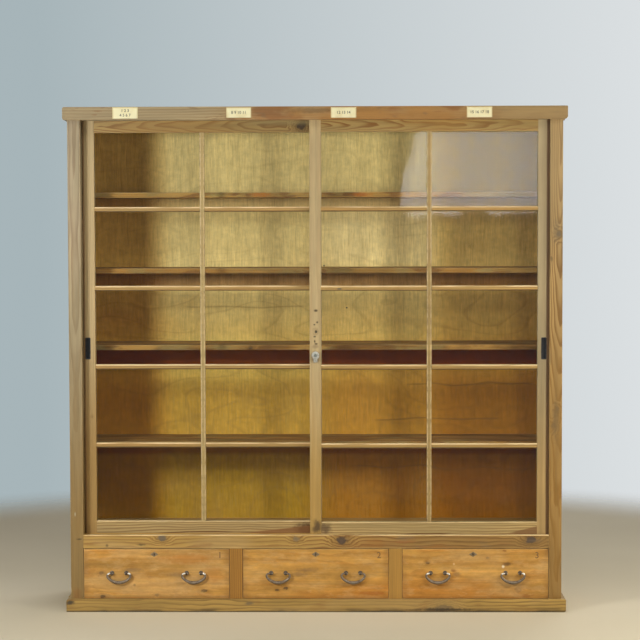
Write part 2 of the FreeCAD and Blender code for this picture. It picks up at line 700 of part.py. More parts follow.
# Sliding doors: stiles, rails, half-lapped glazing bars and panes in grooves
def make_door(side, left, track):
    face, rear = door_planes(track)
    middle = (face + rear) / 2
    right = left + door_width
    inner = (left + size.stile_width, right - size.stile_width)
    centre = (inner[0] + inner[1]) / 2
    upright = about(centre, size.upright_bar_width)
    bar_deep = (face + size.bar_setback, face + size.bar_setback + size.bar_thickness)
    bar_half = (bar_deep[0] + bar_deep[1]) / 2
    name = side + "_door_"
    columns = ((inner[0], upright[0]), (upright[1], inner[1]))

    panes, pockets = [], []
    for row in range(pane_rows):
        low = glass_bottom if row == 0 else bar_span(row)[1]
        high = low + pane_height
        for column, (start, end) in enumerate(columns):
            let_in = size.glass_groove - size.glass_play
            tag = f"{row + 1}_{column + 1}"
            panes.append(
                box(
                    name + "pane_" + tag,
                    (start - let_in, end + let_in),
                    about(middle, size.glass_thickness),
                    (low - let_in, high + let_in),
                )
            )
            let_in = size.glass_groove
            pockets.append(
                box(
                    name + "pocket_" + tag,
                    (start - let_in, end + let_in),
                    about(middle, size.glass_thickness + size.glass_play * 2),
                    (low - let_in, high + let_in),
                )
            )
    grooves = group(name + "glass_grooves", pockets)

    level_bars, front_laps, rear_laps = [], [], []
    for number in range(1, pane_rows):
        span = bar_span(number)
        across = (inner[0] - size.bar_housing, inner[1] + size.bar_housing)
        blank = box(f"{name}bar_{number}_blank", across, bar_deep, span)
        front_lap = box(f"{name}front_lap_{number}", upright, (bar_deep[0], bar_half), span)
        rear_laps.append(box(f"{name}rear_lap_{number}", upright, (bar_half, bar_deep[1]), span))
        level_bars.append(cut(f"{name}bar_{number}", blank, grooves, front_lap))
    upright_up = (glass_bottom - size.bar_housing, glass_top + size.bar_housing)
    upright_blank = box(name + "upright_blank", upright, bar_deep, upright_up)
    upright_bar = cut(name + "upright", upright_blank, grooves, group(name + "rear_laps", rear_laps))
    level_group = group(name + "level_bars", level_bars)

    rails = []
    for rail, up in (("top_rail", (glass_top, door_top)), ("bottom_rail", (door_bottom, glass_bottom))):
        body = box(f"{name}{rail}_body", inner, (face, rear), up)
        tenon = box(
            f"{name}{rail}_tenon",
            (inner[0] - size.rail_tenon, inner[1] + size.rail_tenon),
            about(middle, size.rail_tenon_thickness),
            (up[0] + size.rail_tenon_shoulder, up[1] - size.rail_tenon_shoulder),
        )
        stock = fuse(f"{name}{rail}_stock", body, tenon)
        rails.append(node(name + rail, cut(f"{name}{rail}_cut", stock, grooves, upright_bar)))

    stile_seats = group(name + "stile_seats", rails + [level_group])
    stiles = {
        "left": box(name + "left_stile_blank", (left, inner[0]), (face, rear), (door_bottom, door_top)),
        "right": box(name + "right_stile_blank", (inner[1], right), (face, rear), (door_bottom, door_top)),
    }
    outer = stiles[side]
    meeting = stiles["right" if side == "left" else "left"]
    if side == "left":
        pull_middle = left + size.stile_width / 2 - size.left_pull_offset
    else:
        pull_middle = right - size.stile_width / 2 + size.right_pull_offset
    pull, pull_mortise = make_finger_pull(side, pull_middle, face)
    node(name + "outer_stile", cut(name + "outer_stile_cut", outer, grooves, stile_seats, pull_mortise))
    node(name + "bars", group(name + "bar_set", [level_group, upright_bar]))
    node(name + "panes", group(name + "pane_set", panes))
    node(name + "finger_pull", pull)
    meeting_stile = cut(name + "meeting_stile_cut", meeting, grooves, stile_seats)
    if side == "right":
        barrel = make_door_lock(left + size.stile_width / 2, face, rear)
        meeting_stile = cut(name + "meeting_stile_bored", meeting_stile, barrel)
    node(name + "meeting_stile", meeting_stile)


def make_finger_pull(side, middle, face):
    """An iron cup with a thin flange, let in the outer stile; returns it and its mortise."""
    rim, wall = size.pull_rim, size.pull_wall
    half_width, half_height = size.pull_width / 2, size.pull_height / 2

    def outline(more):
        across = (-half_width - more, half_width + more)
        return rectangle(across, (-half_height - more, half_height + more))

    body = doc.addObject("PartDesign::Body", side + "_finger_pull")
    pad_between(body, side + "_flange", (-size.pull_rim_thickness, ZERO), outline(rim))
    pad_between(body, side + "_cup", (ZERO, size.pull_depth), outline(ZERO))
    pocket_between(body, side + "_hollow", (-size.pull_rim_thickness, size.pull_depth - wall), outline(-wall))
    round_flange(body, side, half_width + rim)
    move_to(body, middle, face, pull_level)
    mortise = box(
        side + "_pull_mortise",
        about(middle, size.pull_width),
        (face, face + size.pull_depth),
        about(pull_level, size.pull_height),
    )
    return body, mortise


def round_flange(body, side, half_width):
    """Rounds the flange's four corners."""
    before = body.Tip
    corners = []
    for number, edge in enumerate(before.Shape.Edges, start=1):
        start, end = edge.Vertexes[0].Point, edge.Vertexes[-1].Point
        through = abs(start.x - end.x) + abs(start.z - end.z) < SAME_PLACE < edge.Length
        if through and abs(abs(start.x) - half_width.value) < SAME_PLACE:
            corners.append(f"Edge{number}")
    fillet = body.newObject("PartDesign::Fillet", side + "_flange_round")
    fillet.Base = (before, corners)
    fillet.setExpression("Radius", size.pull_corner.text)


def make_door_lock(middle, face, rear):
    """A round lock with a pear shaped plate; returns the tool that bores the stile."""
    plate = doc.addObject("Part::Cylinder", "lock_plate_round")
    tail_up = (lock_level - size.lock_plate_drop, lock_level)
    tail = box(
        "lock_plate_tail_board",
        about(middle, size.lock_plate_tail * 2),
        (face - size.lock_plate_thickness, face),
        tail_up,
    )
    rounds = []
    boss_front = face - size.lock_plate_thickness - size.lock_boss_height
    for name, radius, start, end, piece in (
        ("lock_plate_round", size.lock_plate_radius, face - size.lock_plate_thickness, face, plate),
        ("lock_boss", size.lock_boss_radius, boss_front, face, None),
        ("lock_barrel", size.lock_barrel_radius, boss_front, rear, None),
        ("lock_bore", size.plug_radius + size.plug_play, boss_front, rear - size.plug_back_wall, None),
        ("lock_plug_round", size.plug_radius, boss_front, rear - size.plug_back_wall - size.plug_play, None),
        ("lock_stile_bore", size.lock_barrel_radius, face, rear, None),
    ):
        piece = piece or doc.addObject("Part::Cylinder", name)
        piece.setExpression("Radius", radius.text)
        piece.setExpression("Height", (end - start).text)
        piece.Placement = Placement(Vector(), Rotation(Vector(1, 0, 0), -90))
        move_to(piece, middle, start, lock_level)
        rounds.append(piece)
    plate, boss, barrel, bore, plug, stile_bore = rounds
    lock = cut("right_door_lock_cut", fuse("lock_stock", plate, tail, boss, barrel), bore)
    node("right_door_lock", lock)
    keyway = box(
        "keyway",
        about(middle, size.keyway_width),
        (boss_front, boss_front + size.keyway_depth),
        about(lock_level, size.keyway_height),
    )
    node("right_door_lock_plug", cut("lock_plug", plug, keyway))
    return stile_bore


# Drawers
def make_handle_post():
    """One iron post: a ring head, a shank through a washer, and legs spread inside the drawer.
    Its origin is the middle of the ring, where the bail turns."""
    body = doc.addObject("PartDesign::Body", "handle_post")
    face = size.handle_stand_off
    inside = face + size.drawer_front_thickness
    shank = about(ZERO, size.shank_width)
    ring = new_sketch(body, "post_ring", "YZ_Plane")
    draw_outline(ring, many_sided(size.eye_radius))
    head = body.newObject("PartDesign::Pad", "post_head")
    head.Profile = ring
    head.SideType = "Symmetric"
    head.setExpression("Length", size.eye_thickness.text)
    pad_between(body, "post_shank", (size.eye_radius / 2, inside), rectangle(shank, shank))
    pad_between(body, "post_washer", (face - size.rosette_thickness, face), many_sided(size.rosette_radius))
    legs = rectangle(shank, about(ZERO, size.clinch_length))
    pad_between(body, "post_legs", (inside, inside + size.clinch_thickness), legs)
    doc.recompute()
    solid = body.Tip.Shape.Volume
    hole = new_sketch(body, "post_hole", "YZ_Plane")
    draw_circle(hole, ZERO, ZERO, size.bail_end_radius + size.eye_play)
    eye = body.newObject("PartDesign::Pocket", "post_eye")
    eye.Profile = hole
    eye.SideType = "Symmetric"
    eye.setExpression("Length", (size.eye_thickness * 2).text)
    doc.recompute()
    if not eye.Shape.Volume < solid:
        raise RuntimeError("the ring of the handle post is not open")
    return body


def bail_stations():
    """Centre, direction and length of the way along half of the bail, from its tip to its lowest point.
    A straight end turns in the ring, then three bends follow each other without a corner."""
    shoulder, side = size.bail_shoulder_radius.value, size.bail_side_radius.value
    straight = size.bail_half_width.value - shoulder
    below = size.bail_fall.value - shoulder
    side_x = size.bail_half_width.value - side
    grip = (side_x**2 + below**2 - side**2) / (2 * (below - side))
    grip_centre = Vector(0, 0, grip - below - shoulder)
    side_centre = Vector(side_x, 0, -shoulder)
    meeting = math.degrees(math.atan2(side_centre.z - grip_centre.z, side_x))
    bends = [
        (Vector(straight, 0, -shoulder), shoulder, 90.0, 0.0),
        (side_centre, side, 0.0, meeting),
        (grip_centre, grip, meeting, -90.0),
    ]
    stations = [(Vector(size.bail_tip.value, 0, 0), 90.0, 0.0)]
    stations.append((Vector(straight, 0, 0), 90.0, straight - size.bail_tip.value))
    for centre, radius, start, end in bends:
        for step in range(1, BEND_STEPS + 1):
            angle = start + (end - start) * step / BEND_STEPS
            spoke = Vector(math.cos(math.radians(angle)), 0, math.sin(math.radians(angle)))
            run = radius * math.radians(abs(end - start)) / BEND_STEPS
            stations.append((centre + spoke * radius, angle, stations[-1][2] + run))
    return stations


def bail_ring(centre, angle, radius):
    """Corners round the bail's centre line; angle is its outward side in XZ."""
    outward = Vector(math.cos(math.radians(angle)), 0, math.sin(math.radians(angle)))
    sideways = Vector(0, 1, 0)
    turns = [2 * math.pi * number / BAIL_SIDES for number in range(BAIL_SIDES)]
    spokes = [outward * math.cos(turn) + sideways * math.sin(turn) for turn in turns]
    return [centre + spoke * radius for spoke in spokes]


def flat_face(*corners):
    return Part.Face(Part.makePolygon(list(corners) + [corners[0]]))


def skin(rings):
    """A solid with flat facets between neighbouring rings of corners and an end face on each end."""
    faces = [flat_face(*rings[0]), flat_face(*rings[-1])]
    for ring, following in zip(rings, rings[1:]):
        for place in range(len(ring)):
            start, end = ring[place - 1], ring[place]
            far_start, far_end = following[place - 1], following[place]
            faces.append(flat_face(start, end, far_end))
            faces.append(flat_face(start, far_end, far_start))
    shell = Part.makeShell(faces)
    shell.sewShape()
    return Part.makeSolid(shell)


def bail_shape():
    """A round iron bar that is thickest in the grip, skinned over rings along its bends."""
    half = bail_stations()
    straight_end, whole = half[1][2], half[-1][2]
    thin, thick = size.bail_end_radius.value, size.bail_grip_radius.value
    right = []
    for centre, angle, way in half:
        swell = max(0.0, (way - straight_end) / (whole - straight_end)) ** SWELL_SHARE
        right.append((centre, angle, thin + (thick - thin) * swell))
    left = []
    for centre, angle, radius in reversed(right[:-1]):
        left.append((Vector(-centre.x, 0, centre.z), -180.0 - angle, radius))
    return skin([bail_ring(*place) for place in right + left])


def make_drawer(number, post, bail):
    middle = drawer_middle(number)
    name = f"drawer_{number}_"
    half = drawer_width / 2
    thickness = size.drawer_front_thickness
    height = drawer_top - drawer_bottom
    side = size.drawer_side_thickness
    sheet_up = size.drawer_bottom_thickness
    side_top = height - size.drawer_side_drop

    body = doc.addObject("PartDesign::Body", name + "front_body")
    pad_between(body, name + "board", (ZERO, thickness), rectangle((-half, half), (ZERO, height)))
    rebates = [
        rectangle((-half, -half + side), (ZERO, side_top)),
        rectangle((half - side, half), (ZERO, side_top)),
    ]
    lap = (thickness - size.drawer_lap, thickness)
    pocket_between(body, name + "end_rebates", lap, *rebates)
    under_sides = rectangle((-half + side, half - side), (ZERO, sheet_up))
    pocket_between(body, name + "bottom_rebate", lap, under_sides)
    key_x = getattr(size, f"lock_{number}_offset")
    key_z = keyhole_level - drawer_bottom
    case_up = about(key_z, size.lock_case_height)
    case_deep = (thickness - size.lock_case_depth, thickness)
    mortise = rectangle(about(key_x, size.lock_case_width), case_up)
    pocket_between(body, name + "lock_mortise", case_deep, mortise)
    keyhole = rectangle(about(key_x, size.key_slot_width), about(key_z, size.key_slot_height))
    pocket_between(body, name + "keyhole", (ZERO, case_deep[0]), keyhole)
    bolt_hole = rectangle(about(key_x, size.bolt_width + size.bolt_play * 2), (case_up[1], height))
    bolt_hole_from_face = [depth - drawer_face for depth in bolt_hole_deep]
    pocket_between(body, name + "bolt_hole", bolt_hole_from_face, bolt_hole)
    spreads = (-size.post_spread / 2, size.post_spread / 2)
    post_x = [place + spread for place in (-size.handle_offset, size.handle_offset) for spread in spreads]
    post_z = handle_level - drawer_bottom
    holes = [rectangle(about(x, size.shank_width), about(post_z, size.shank_width)) for x in post_x]
    pocket_between(body, name + "post_holes", (ZERO, thickness), *holes)
    move_to(body, middle, drawer_face, drawer_bottom)
    node(name + "front", body)

    left, right = middle - half, middle + half
    lap_y = front_rear - size.drawer_lap
    rear = drawer_rear
    side_up = (drawer_bottom + sheet_up, drawer_bottom + side_top)
    box_pieces = [
        box(name + "left_side", (left, left + side), (lap_y, rear), side_up),
        box(name + "right_side", (right - side, right), (lap_y, rear), side_up),
        box(name + "back", (left + side, right - side), (rear - side, rear), side_up),
        box(name + "bottom", (left, right), (lap_y, rear), (drawer_bottom, drawer_bottom + sheet_up)),
    ]
    node(name + "box", group(name + "box_set", box_pieces))

    links = []
    for index, x in enumerate(post_x, start=1):
        link = doc.addObject("App::Link", f"{name}post_{index}")
        link.LinkedObject = post
        links.append(move_to(link, middle + x, drawer_face - size.handle_stand_off, handle_level))
    node(name + "handle_posts", group(name + "post_set", links))
    make_drawer_lock(name, middle + key_x)
    for hand, offset in (("left", -size.handle_offset), ("right", size.handle_offset)):
        handle = doc.addObject("Part::Feature", f"{name}{hand}_bail_bar")
        handle.Shape = bail
        move_to(handle, middle + offset, drawer_face - size.handle_stand_off, handle_level)
        node(f"{name}{hand}_bail", handle)


def make_drawer_lock(name, middle):
    """Diamond plate on the face, case behind it and the bolt that rises from the case."""
    body = doc.addObject("PartDesign::Body", name + "key_plate")
    half_width, half_height = size.key_plate_width / 2, size.key_plate_height / 2
    diamond = [(-half_width, ZERO), (ZERO, -half_height), (half_width, ZERO), (ZERO, half_height)]
    plate_deep = (-size.key_plate_thickness, ZERO)
    pad_between(body, name + "plate", plate_deep, diamond)
    slot = rectangle(about(ZERO, size.key_slot_width), about(ZERO, size.key_slot_height))
    pocket_between(body, name + "slot", plate_deep, slot)
    move_to(body, middle, drawer_face, keyhole_level)
    case_up = about(keyhole_level, size.lock_case_height)
    case_across = about(middle, size.lock_case_width)
    case_blank = box(name + "case_blank", case_across, (case_front, front_rear), case_up)
    channel = box(
        name + "bolt_channel",
        about(middle, size.bolt_width + size.bolt_play * 2),
        bolt_hole_deep,
        (bolt_top - size.bolt_height - size.bolt_play, case_up[1]),
    )
    key_gap = box(
        name + "key_gap",
        about(middle, size.key_slot_width),
        (case_front, bolt_hole_deep[0]),
        about(keyhole_level, size.key_slot_height),
    )
    case = cut(name + "lock_case", case_blank, channel, key_gap)
    node(name + "lock", group(name + "lock_set", [body, case]))
    bolt_up = (bolt_top - size.bolt_height, bolt_top)
    node(name + "lock_bolt", box(name + "bolt", about(middle, size.bolt_width), bolt_deep, bolt_up))


make_carcass()
make_door("right", -size.meeting_overlap_edge, 0)
make_door("left", -inner_right + size.left_door_stand_off, 1)
handle_post = make_handle_post()
bail = bail_shape()
for drawer in range(1, DRAWERS + 1):
    make_drawer(drawer, handle_post, bail)
doc.recompute()

# Nothing is written unless every object is sound
for item in doc.Objects:
    if "Invalid" in item.State or "Error" in item.State:
        raise RuntimeError(f"{item.Label} failed: {item.State}")
for item in nodes:
    if item.Shape.isNull() or not item.Shape.isValid():
        raise RuntimeError(f"{item.Label} has no valid shape")
os.makedirs("parts", exist_ok=True)
for item in nodes:
    item.Shape.exportStep(f"parts/{item.Label}.step")
print(len(nodes), "sub-parts written,", sum(len(item.Shape.Solids) for item in nodes), "solids")
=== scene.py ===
# %% [markdown]
# A kitchen cabinet of the mizuya kind, made of planed softwood boards that have been handled for decades.
# Its solids come from a CAD model and are loaded here as a fixed frame. Everything in this file is looks:
# eased edges, grain, knots, forged iron, glass, and the light that shows them. Starting from the real solids
# means that no piece has to be fitted by eye.

# %% Load the frame
import json
import math
import bmesh
import bpy
from mathutils import Matrix, Vector

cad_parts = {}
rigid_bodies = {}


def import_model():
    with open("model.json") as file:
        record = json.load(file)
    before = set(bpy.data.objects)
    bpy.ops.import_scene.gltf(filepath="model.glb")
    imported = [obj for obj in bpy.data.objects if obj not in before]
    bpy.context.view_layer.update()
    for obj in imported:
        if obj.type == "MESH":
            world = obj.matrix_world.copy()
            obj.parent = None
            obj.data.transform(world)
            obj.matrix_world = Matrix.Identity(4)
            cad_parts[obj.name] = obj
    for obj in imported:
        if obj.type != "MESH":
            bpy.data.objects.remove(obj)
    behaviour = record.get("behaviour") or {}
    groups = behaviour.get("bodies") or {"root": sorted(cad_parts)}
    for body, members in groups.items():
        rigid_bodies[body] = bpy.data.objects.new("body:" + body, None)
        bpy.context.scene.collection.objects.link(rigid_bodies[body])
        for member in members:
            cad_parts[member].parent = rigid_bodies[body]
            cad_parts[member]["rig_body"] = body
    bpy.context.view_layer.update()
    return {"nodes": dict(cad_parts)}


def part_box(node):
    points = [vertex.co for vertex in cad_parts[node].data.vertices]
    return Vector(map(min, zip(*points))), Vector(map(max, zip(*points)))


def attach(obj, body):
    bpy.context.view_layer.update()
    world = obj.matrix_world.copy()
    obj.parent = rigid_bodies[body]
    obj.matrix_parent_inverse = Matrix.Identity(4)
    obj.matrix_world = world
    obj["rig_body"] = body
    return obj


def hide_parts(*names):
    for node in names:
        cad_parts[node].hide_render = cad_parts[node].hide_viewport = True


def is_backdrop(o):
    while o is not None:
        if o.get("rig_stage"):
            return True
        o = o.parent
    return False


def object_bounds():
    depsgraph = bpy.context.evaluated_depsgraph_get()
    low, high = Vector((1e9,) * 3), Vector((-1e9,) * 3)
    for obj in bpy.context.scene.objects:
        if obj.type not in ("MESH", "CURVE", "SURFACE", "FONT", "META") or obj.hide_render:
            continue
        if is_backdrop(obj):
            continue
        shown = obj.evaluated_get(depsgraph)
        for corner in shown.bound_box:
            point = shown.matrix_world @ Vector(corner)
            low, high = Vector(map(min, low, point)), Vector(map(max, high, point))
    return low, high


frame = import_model()
scene = bpy.context.scene
nodes = frame["nodes"]

# %% [markdown]
# The photograph was taken with a long lens at about chest height. A camera is easiest to place by its three
# directions, because its own axes are then the columns of one matrix. Yaw turns it, pitch looks down and
# roll tips the horizon.

# %% Camera
CAMERA_PLACE = Vector((0.106, -6.9075, 1.389))
YAW, PITCH, ROLL = (math.radians(angle) for angle in (-0.757, 2.866, -0.132))
LENS, SENSOR, FAR = 105.4, 36.0, 60.0


def put(name, data):
    """Puts a thing in the scene."""
    made = bpy.data.objects.new(name, data)
    scene.collection.objects.link(made)
    return made


ahead = Vector((math.sin(YAW) * math.cos(PITCH), math.cos(YAW) * math.cos(PITCH), -math.sin(PITCH)))
level = Vector((math.cos(YAW), -math.sin(YAW), 0.0))
upward = level.cross(ahead)
camera_right = level * math.cos(ROLL) + upward * math.sin(ROLL)
camera_up = upward * math.cos(ROLL) - level * math.sin(ROLL)
turn = Matrix((camera_right, camera_up, -ahead)).transposed()

camera = put("camera", bpy.data.cameras.new("camera"))
camera.data.sensor_width = SENSOR
camera.data.lens = LENS
camera.data.clip_end = FAR
camera.matrix_world = Matrix.Translation(CAMERA_PLACE) @ turn.to_4x4()
scene.camera = camera
print("camera", round(camera.data.lens, 1), "mm lens, looking", [round(part, 3) for part in ahead])

# %% [markdown]
# A procedural material is a network of nodes. Written as plain node calls, even a small sum takes many lines,
# so one class wraps an output and lets Python's own signs add the Math nodes. A second class holds a network
# and makes every other kind of node in one method, for the materials and for the sky alike.

# %% Sums on outputs
def sign(operation, swapped=False):
    """A method that adds a Math node, for one of Python's signs."""
    def method(wire, other):
        pair = (other, wire) if swapped else (wire, other)
        return wire.network.math(operation, *pair)

    return method


class Wire:
    """The output of a node. A sum with it adds a Math node to the same network."""

    def __init__(self, network, socket):
        self.network = network
        self.socket = socket

    __add__, __radd__ = sign("ADD"), sign("ADD", True)
    __sub__, __rsub__ = sign("SUBTRACT"), sign("SUBTRACT", True)
    __mul__, __rmul__ = sign("MULTIPLY"), sign("MULTIPLY", True)
    __truediv__, __pow__ = sign("DIVIDE"), sign("POWER")


# %% Networks
class Network:
    """The nodes of a material or of the sky."""

    def __init__(self, tree):
        self.tree = tree
        tree.nodes.clear()

    def node(self, kind, values=None, output=0, **settings):
        made = self.tree.nodes.new("ShaderNode" + kind)
        for key, setting in settings.items():
            setattr(made, key, setting)
        for key, value in (values or {}).items():
            socket = made.inputs[key]
            if isinstance(value, Wire):
                self.tree.links.new(value.socket, socket)
            elif socket.type == "RGBA":
                socket.default_value = (*value, 1.0)
            else:
                socket.default_value = value
        return Wire(self, made.outputs[output])

    def math(self, operation, first, second=0.0):
        return self.node("Math", {0: first, 1: second}, operation=operation)

    def ramp(self, value, *stops):
        """A colour ramp. A stop is a place and its grey or its colour."""
        made = self.node("ValToRGB", {"Fac": value})
        elements = made.socket.node.color_ramp.elements
        elements.remove(elements[-1])
        elements[0].position = stops[0][0]
        for number, (place, shade) in enumerate(stops):
            element = elements.new(place) if number else elements[0]
            element.color = (*(shade if isinstance(shade, tuple) else (shade,) * 3), 1.0)
        return made

    def mix(self, share, first, second, way="MIX"):
        values = {0: share, 6: first, 7: second}
        return self.node("Mix", values, 2, data_type="RGBA", blend_type=way)

    def vector(self, operation, first, second, output="Vector"):
        return self.node("VectorMath", {0: first, 1: second}, output, operation=operation)

    def length(self, vector):
        return self.vector("LENGTH", vector, (0, 0, 0), "Value")

    def noise(self, place, scale, detail=2.0, rough=0.5):
        values = {"Vector": place, "Scale": scale, "Detail": detail, "Roughness": rough}
        return self.node("TexNoise", values)

    def step(self, value, start, end):
        """0 before start, 1 after end, and a soft rise between them."""
        values = {"Value": value, "From Min": start, "From Max": end}
        return self.node("MapRange", values, interpolation_type="SMOOTHSTEP")

    def parts(self, vector):
        split = self.node("SeparateXYZ", {0: vector})
        return [Wire(self, socket) for socket in split.socket.node.outputs]

    def show(self, shader, end="Material"):
        end = self.tree.nodes.new("ShaderNodeOutput" + end)
        self.tree.links.new(shader.socket, end.inputs["Surface"])


# %% Finishes
class Finish(Network):
    """One material. Places are metres in the cabinet's frame."""

    def __init__(self, name):
        self.material = bpy.data.materials.new(name)
        self.material.use_nodes = True
        super().__init__(self.material.node_tree)
        self.place = self.node("TexCoord", output="Object")

    def near(self, centre, radii):
        """Distance from centre, with 1 at the edge of an ellipsoid."""
        offset = self.vector("SUBTRACT", self.place, centre)
        return self.length(self.vector("DIVIDE", offset, radii))

    def worn(self):
        """The mark that eased faces carry, for wear, painted highlight and painted shade."""
        return self.node("Attribute", None, "Fac", attribute_name="worn")

    def bump(self, height, distance, strength=1.0):
        values = {"Height": height, "Distance": distance, "Strength": strength}
        return self.node("Bump", values, "Normal")

    def surface(self, values):
        """Ends the material with one Principled surface."""
        self.show(self.node("BsdfPrincipled", values))


# %% [markdown]
# The studio has no walls, because the cabinet is looked at from all sides: a wall behind it would hide its
# back. The floor is one pale sheet that fades out a few metres away, and past it the sky's own colour is the
# backdrop. A fade is a mix with a Transparent surface, by distance from the cabinet.

# %% Floor
FLOOR_HALF = 5.0
FADE_START, FADE_END = 2.35, 3.3


def made_object(name, bm, finish, sharp=None):
    """Makes a mesh an object. Edges above the sharp angle keep their crease."""
    mesh = bpy.data.meshes.new(name)
    bm.to_mesh(mesh)
    bm.free()
    if sharp:
        mesh.shade_smooth()
        mesh.set_sharp_from_angle(angle=math.radians(sharp))
    mesh.materials.append(finish.material)
    return put(name, mesh)


floor = Finish("studio_floor")
floor_colour = floor.mix(floor.noise(floor.place, 1.5), (0.72, 0.645, 0.49), (0.80, 0.725, 0.57))
floor_paint = floor.node("BsdfDiffuse", {"Color": floor_colour})
floor_gone = floor.step(floor.length(floor.place), FADE_START, FADE_END)
floor_clear = floor.node("BsdfTransparent")
floor.show(floor.node("MixShader", {0: floor_gone, 1: floor_paint, 2: floor_clear}))
bm = bmesh.new()
bmesh.ops.create_grid(bm, x_segments=1, y_segments=1, size=FLOOR_HALF)
made = made_object("studio_floor", bm, floor)
made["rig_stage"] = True

# %% [markdown]
# The shadows in the photograph tell where its lamps stood. The left post shades a strip of the back, so one
# lamp is low and about 40 degrees to the left. The right post shades a narrower strip from a weaker lamp
# about 50 degrees to the right. A ceiling lamp gives light on the sill and the bars' upper arrises, which
# also carry a painted highlight, and a small far lamp is what the top right panes mirror as haze. The sky is
# weak, and the backdrop's colour is only for the camera and for gloss, so that it doesn't tint the wood.

# %% Lamps and sky
def lamp(name, place, target, wide, high, power, colour):
    light = bpy.data.lights.new(name, "AREA")
    light.shape = "RECTANGLE"
    light.size = wide
    light.size_y = high
    light.energy = power
    light.color = colour
    aim = (Vector(target) - Vector(place)).to_track_quat("-Z", "Y")
    put(name, light).matrix_world = Matrix.Translation(place) @ aim.to_matrix().to_4x4()


lamp("left_lamp", (-1.97, -2.38, 1.58), (-0.1, 0.1, 0.9), 0.48, 0.42, 48.2, (1.0, 0.985, 0.925))
lamp("right_lamp", (2.1, -1.55, 1.5), (0.1, 0.1, 0.8), 0.65, 0.5, 28.0, (1.0, 0.94, 0.79))
lamp("haze_lamp", (1.29, -9.0, 1.9), (0.6, 0.0, 1.6), 1.25, 0.8, 29.0, (0.95, 0.97, 1.0))
lamp("ceiling_lamp", (0.3, -2.4, 3.9), (0.1, -0.5, 0.0), 2.2, 1.4, 34.8, (1.0, 0.985, 0.93))
lamp("rear_lamp", (1.0, 2.3, 3.6), (0.0, 0.2, 0.9), 2.4, 2.4, 50.0, (1.0, 1.0, 1.0))

SKY_STRENGTH = 0.07
world = bpy.data.worlds.new("studio_sky")
world.use_nodes = True
sky = Network(world.node_tree)
sideways = sky.parts(sky.node("TexCoord", output="Generated"))[0]
backdrop_colour = sky.ramp(sideways + 0.5, (0.34, (0.385, 0.46, 0.485)), (0.68, (0.73, 0.76, 0.775)))
backdrop = sky.node("Background", {"Color": backdrop_colour})
sky_light = sky.node("Background", {"Color": (1.0, 0.95, 0.86), "Strength": SKY_STRENGTH})
rays = [sky.node("LightPath", output=f"Is {kind} Ray") for kind in ("Camera", "Glossy")]
seen = sky.math("MAXIMUM", *rays)
sky.show(sky.node("MixShader", {0: seen, 1: sky_light, 2: backdrop}), "World")
scene.world = world
scene.view_settings.view_transform = "Standard"
print("lamps", len(bpy.data.lights), "sky strength", SKY_STRENGTH)

# %% [markdown]
# Wood is drawn as what it is: a slice through a tree. Each board is given the place of its tree's middle, and
# the distance from that line gives the growth rings. Where the line is near the face and the trunk wanders,
# the rings show as tall arches, and where it is far off they show as straight lines. A log that leans in
# its board gives the arches too. Knots push the rings aside. This solid pattern also gives true end grain
# where a board is cut across.

# %% Wood
# Dark brown for dirt stains, and also painted as shade on the window bars' lower arrises.
DIRT_AND_SHADE = (0.05, 0.034, 0.018)
STAIN_DEEP = 0.02
ACROSS = {"X": (1, 2), "Y": (0, 2), "Z": (0, 1)}


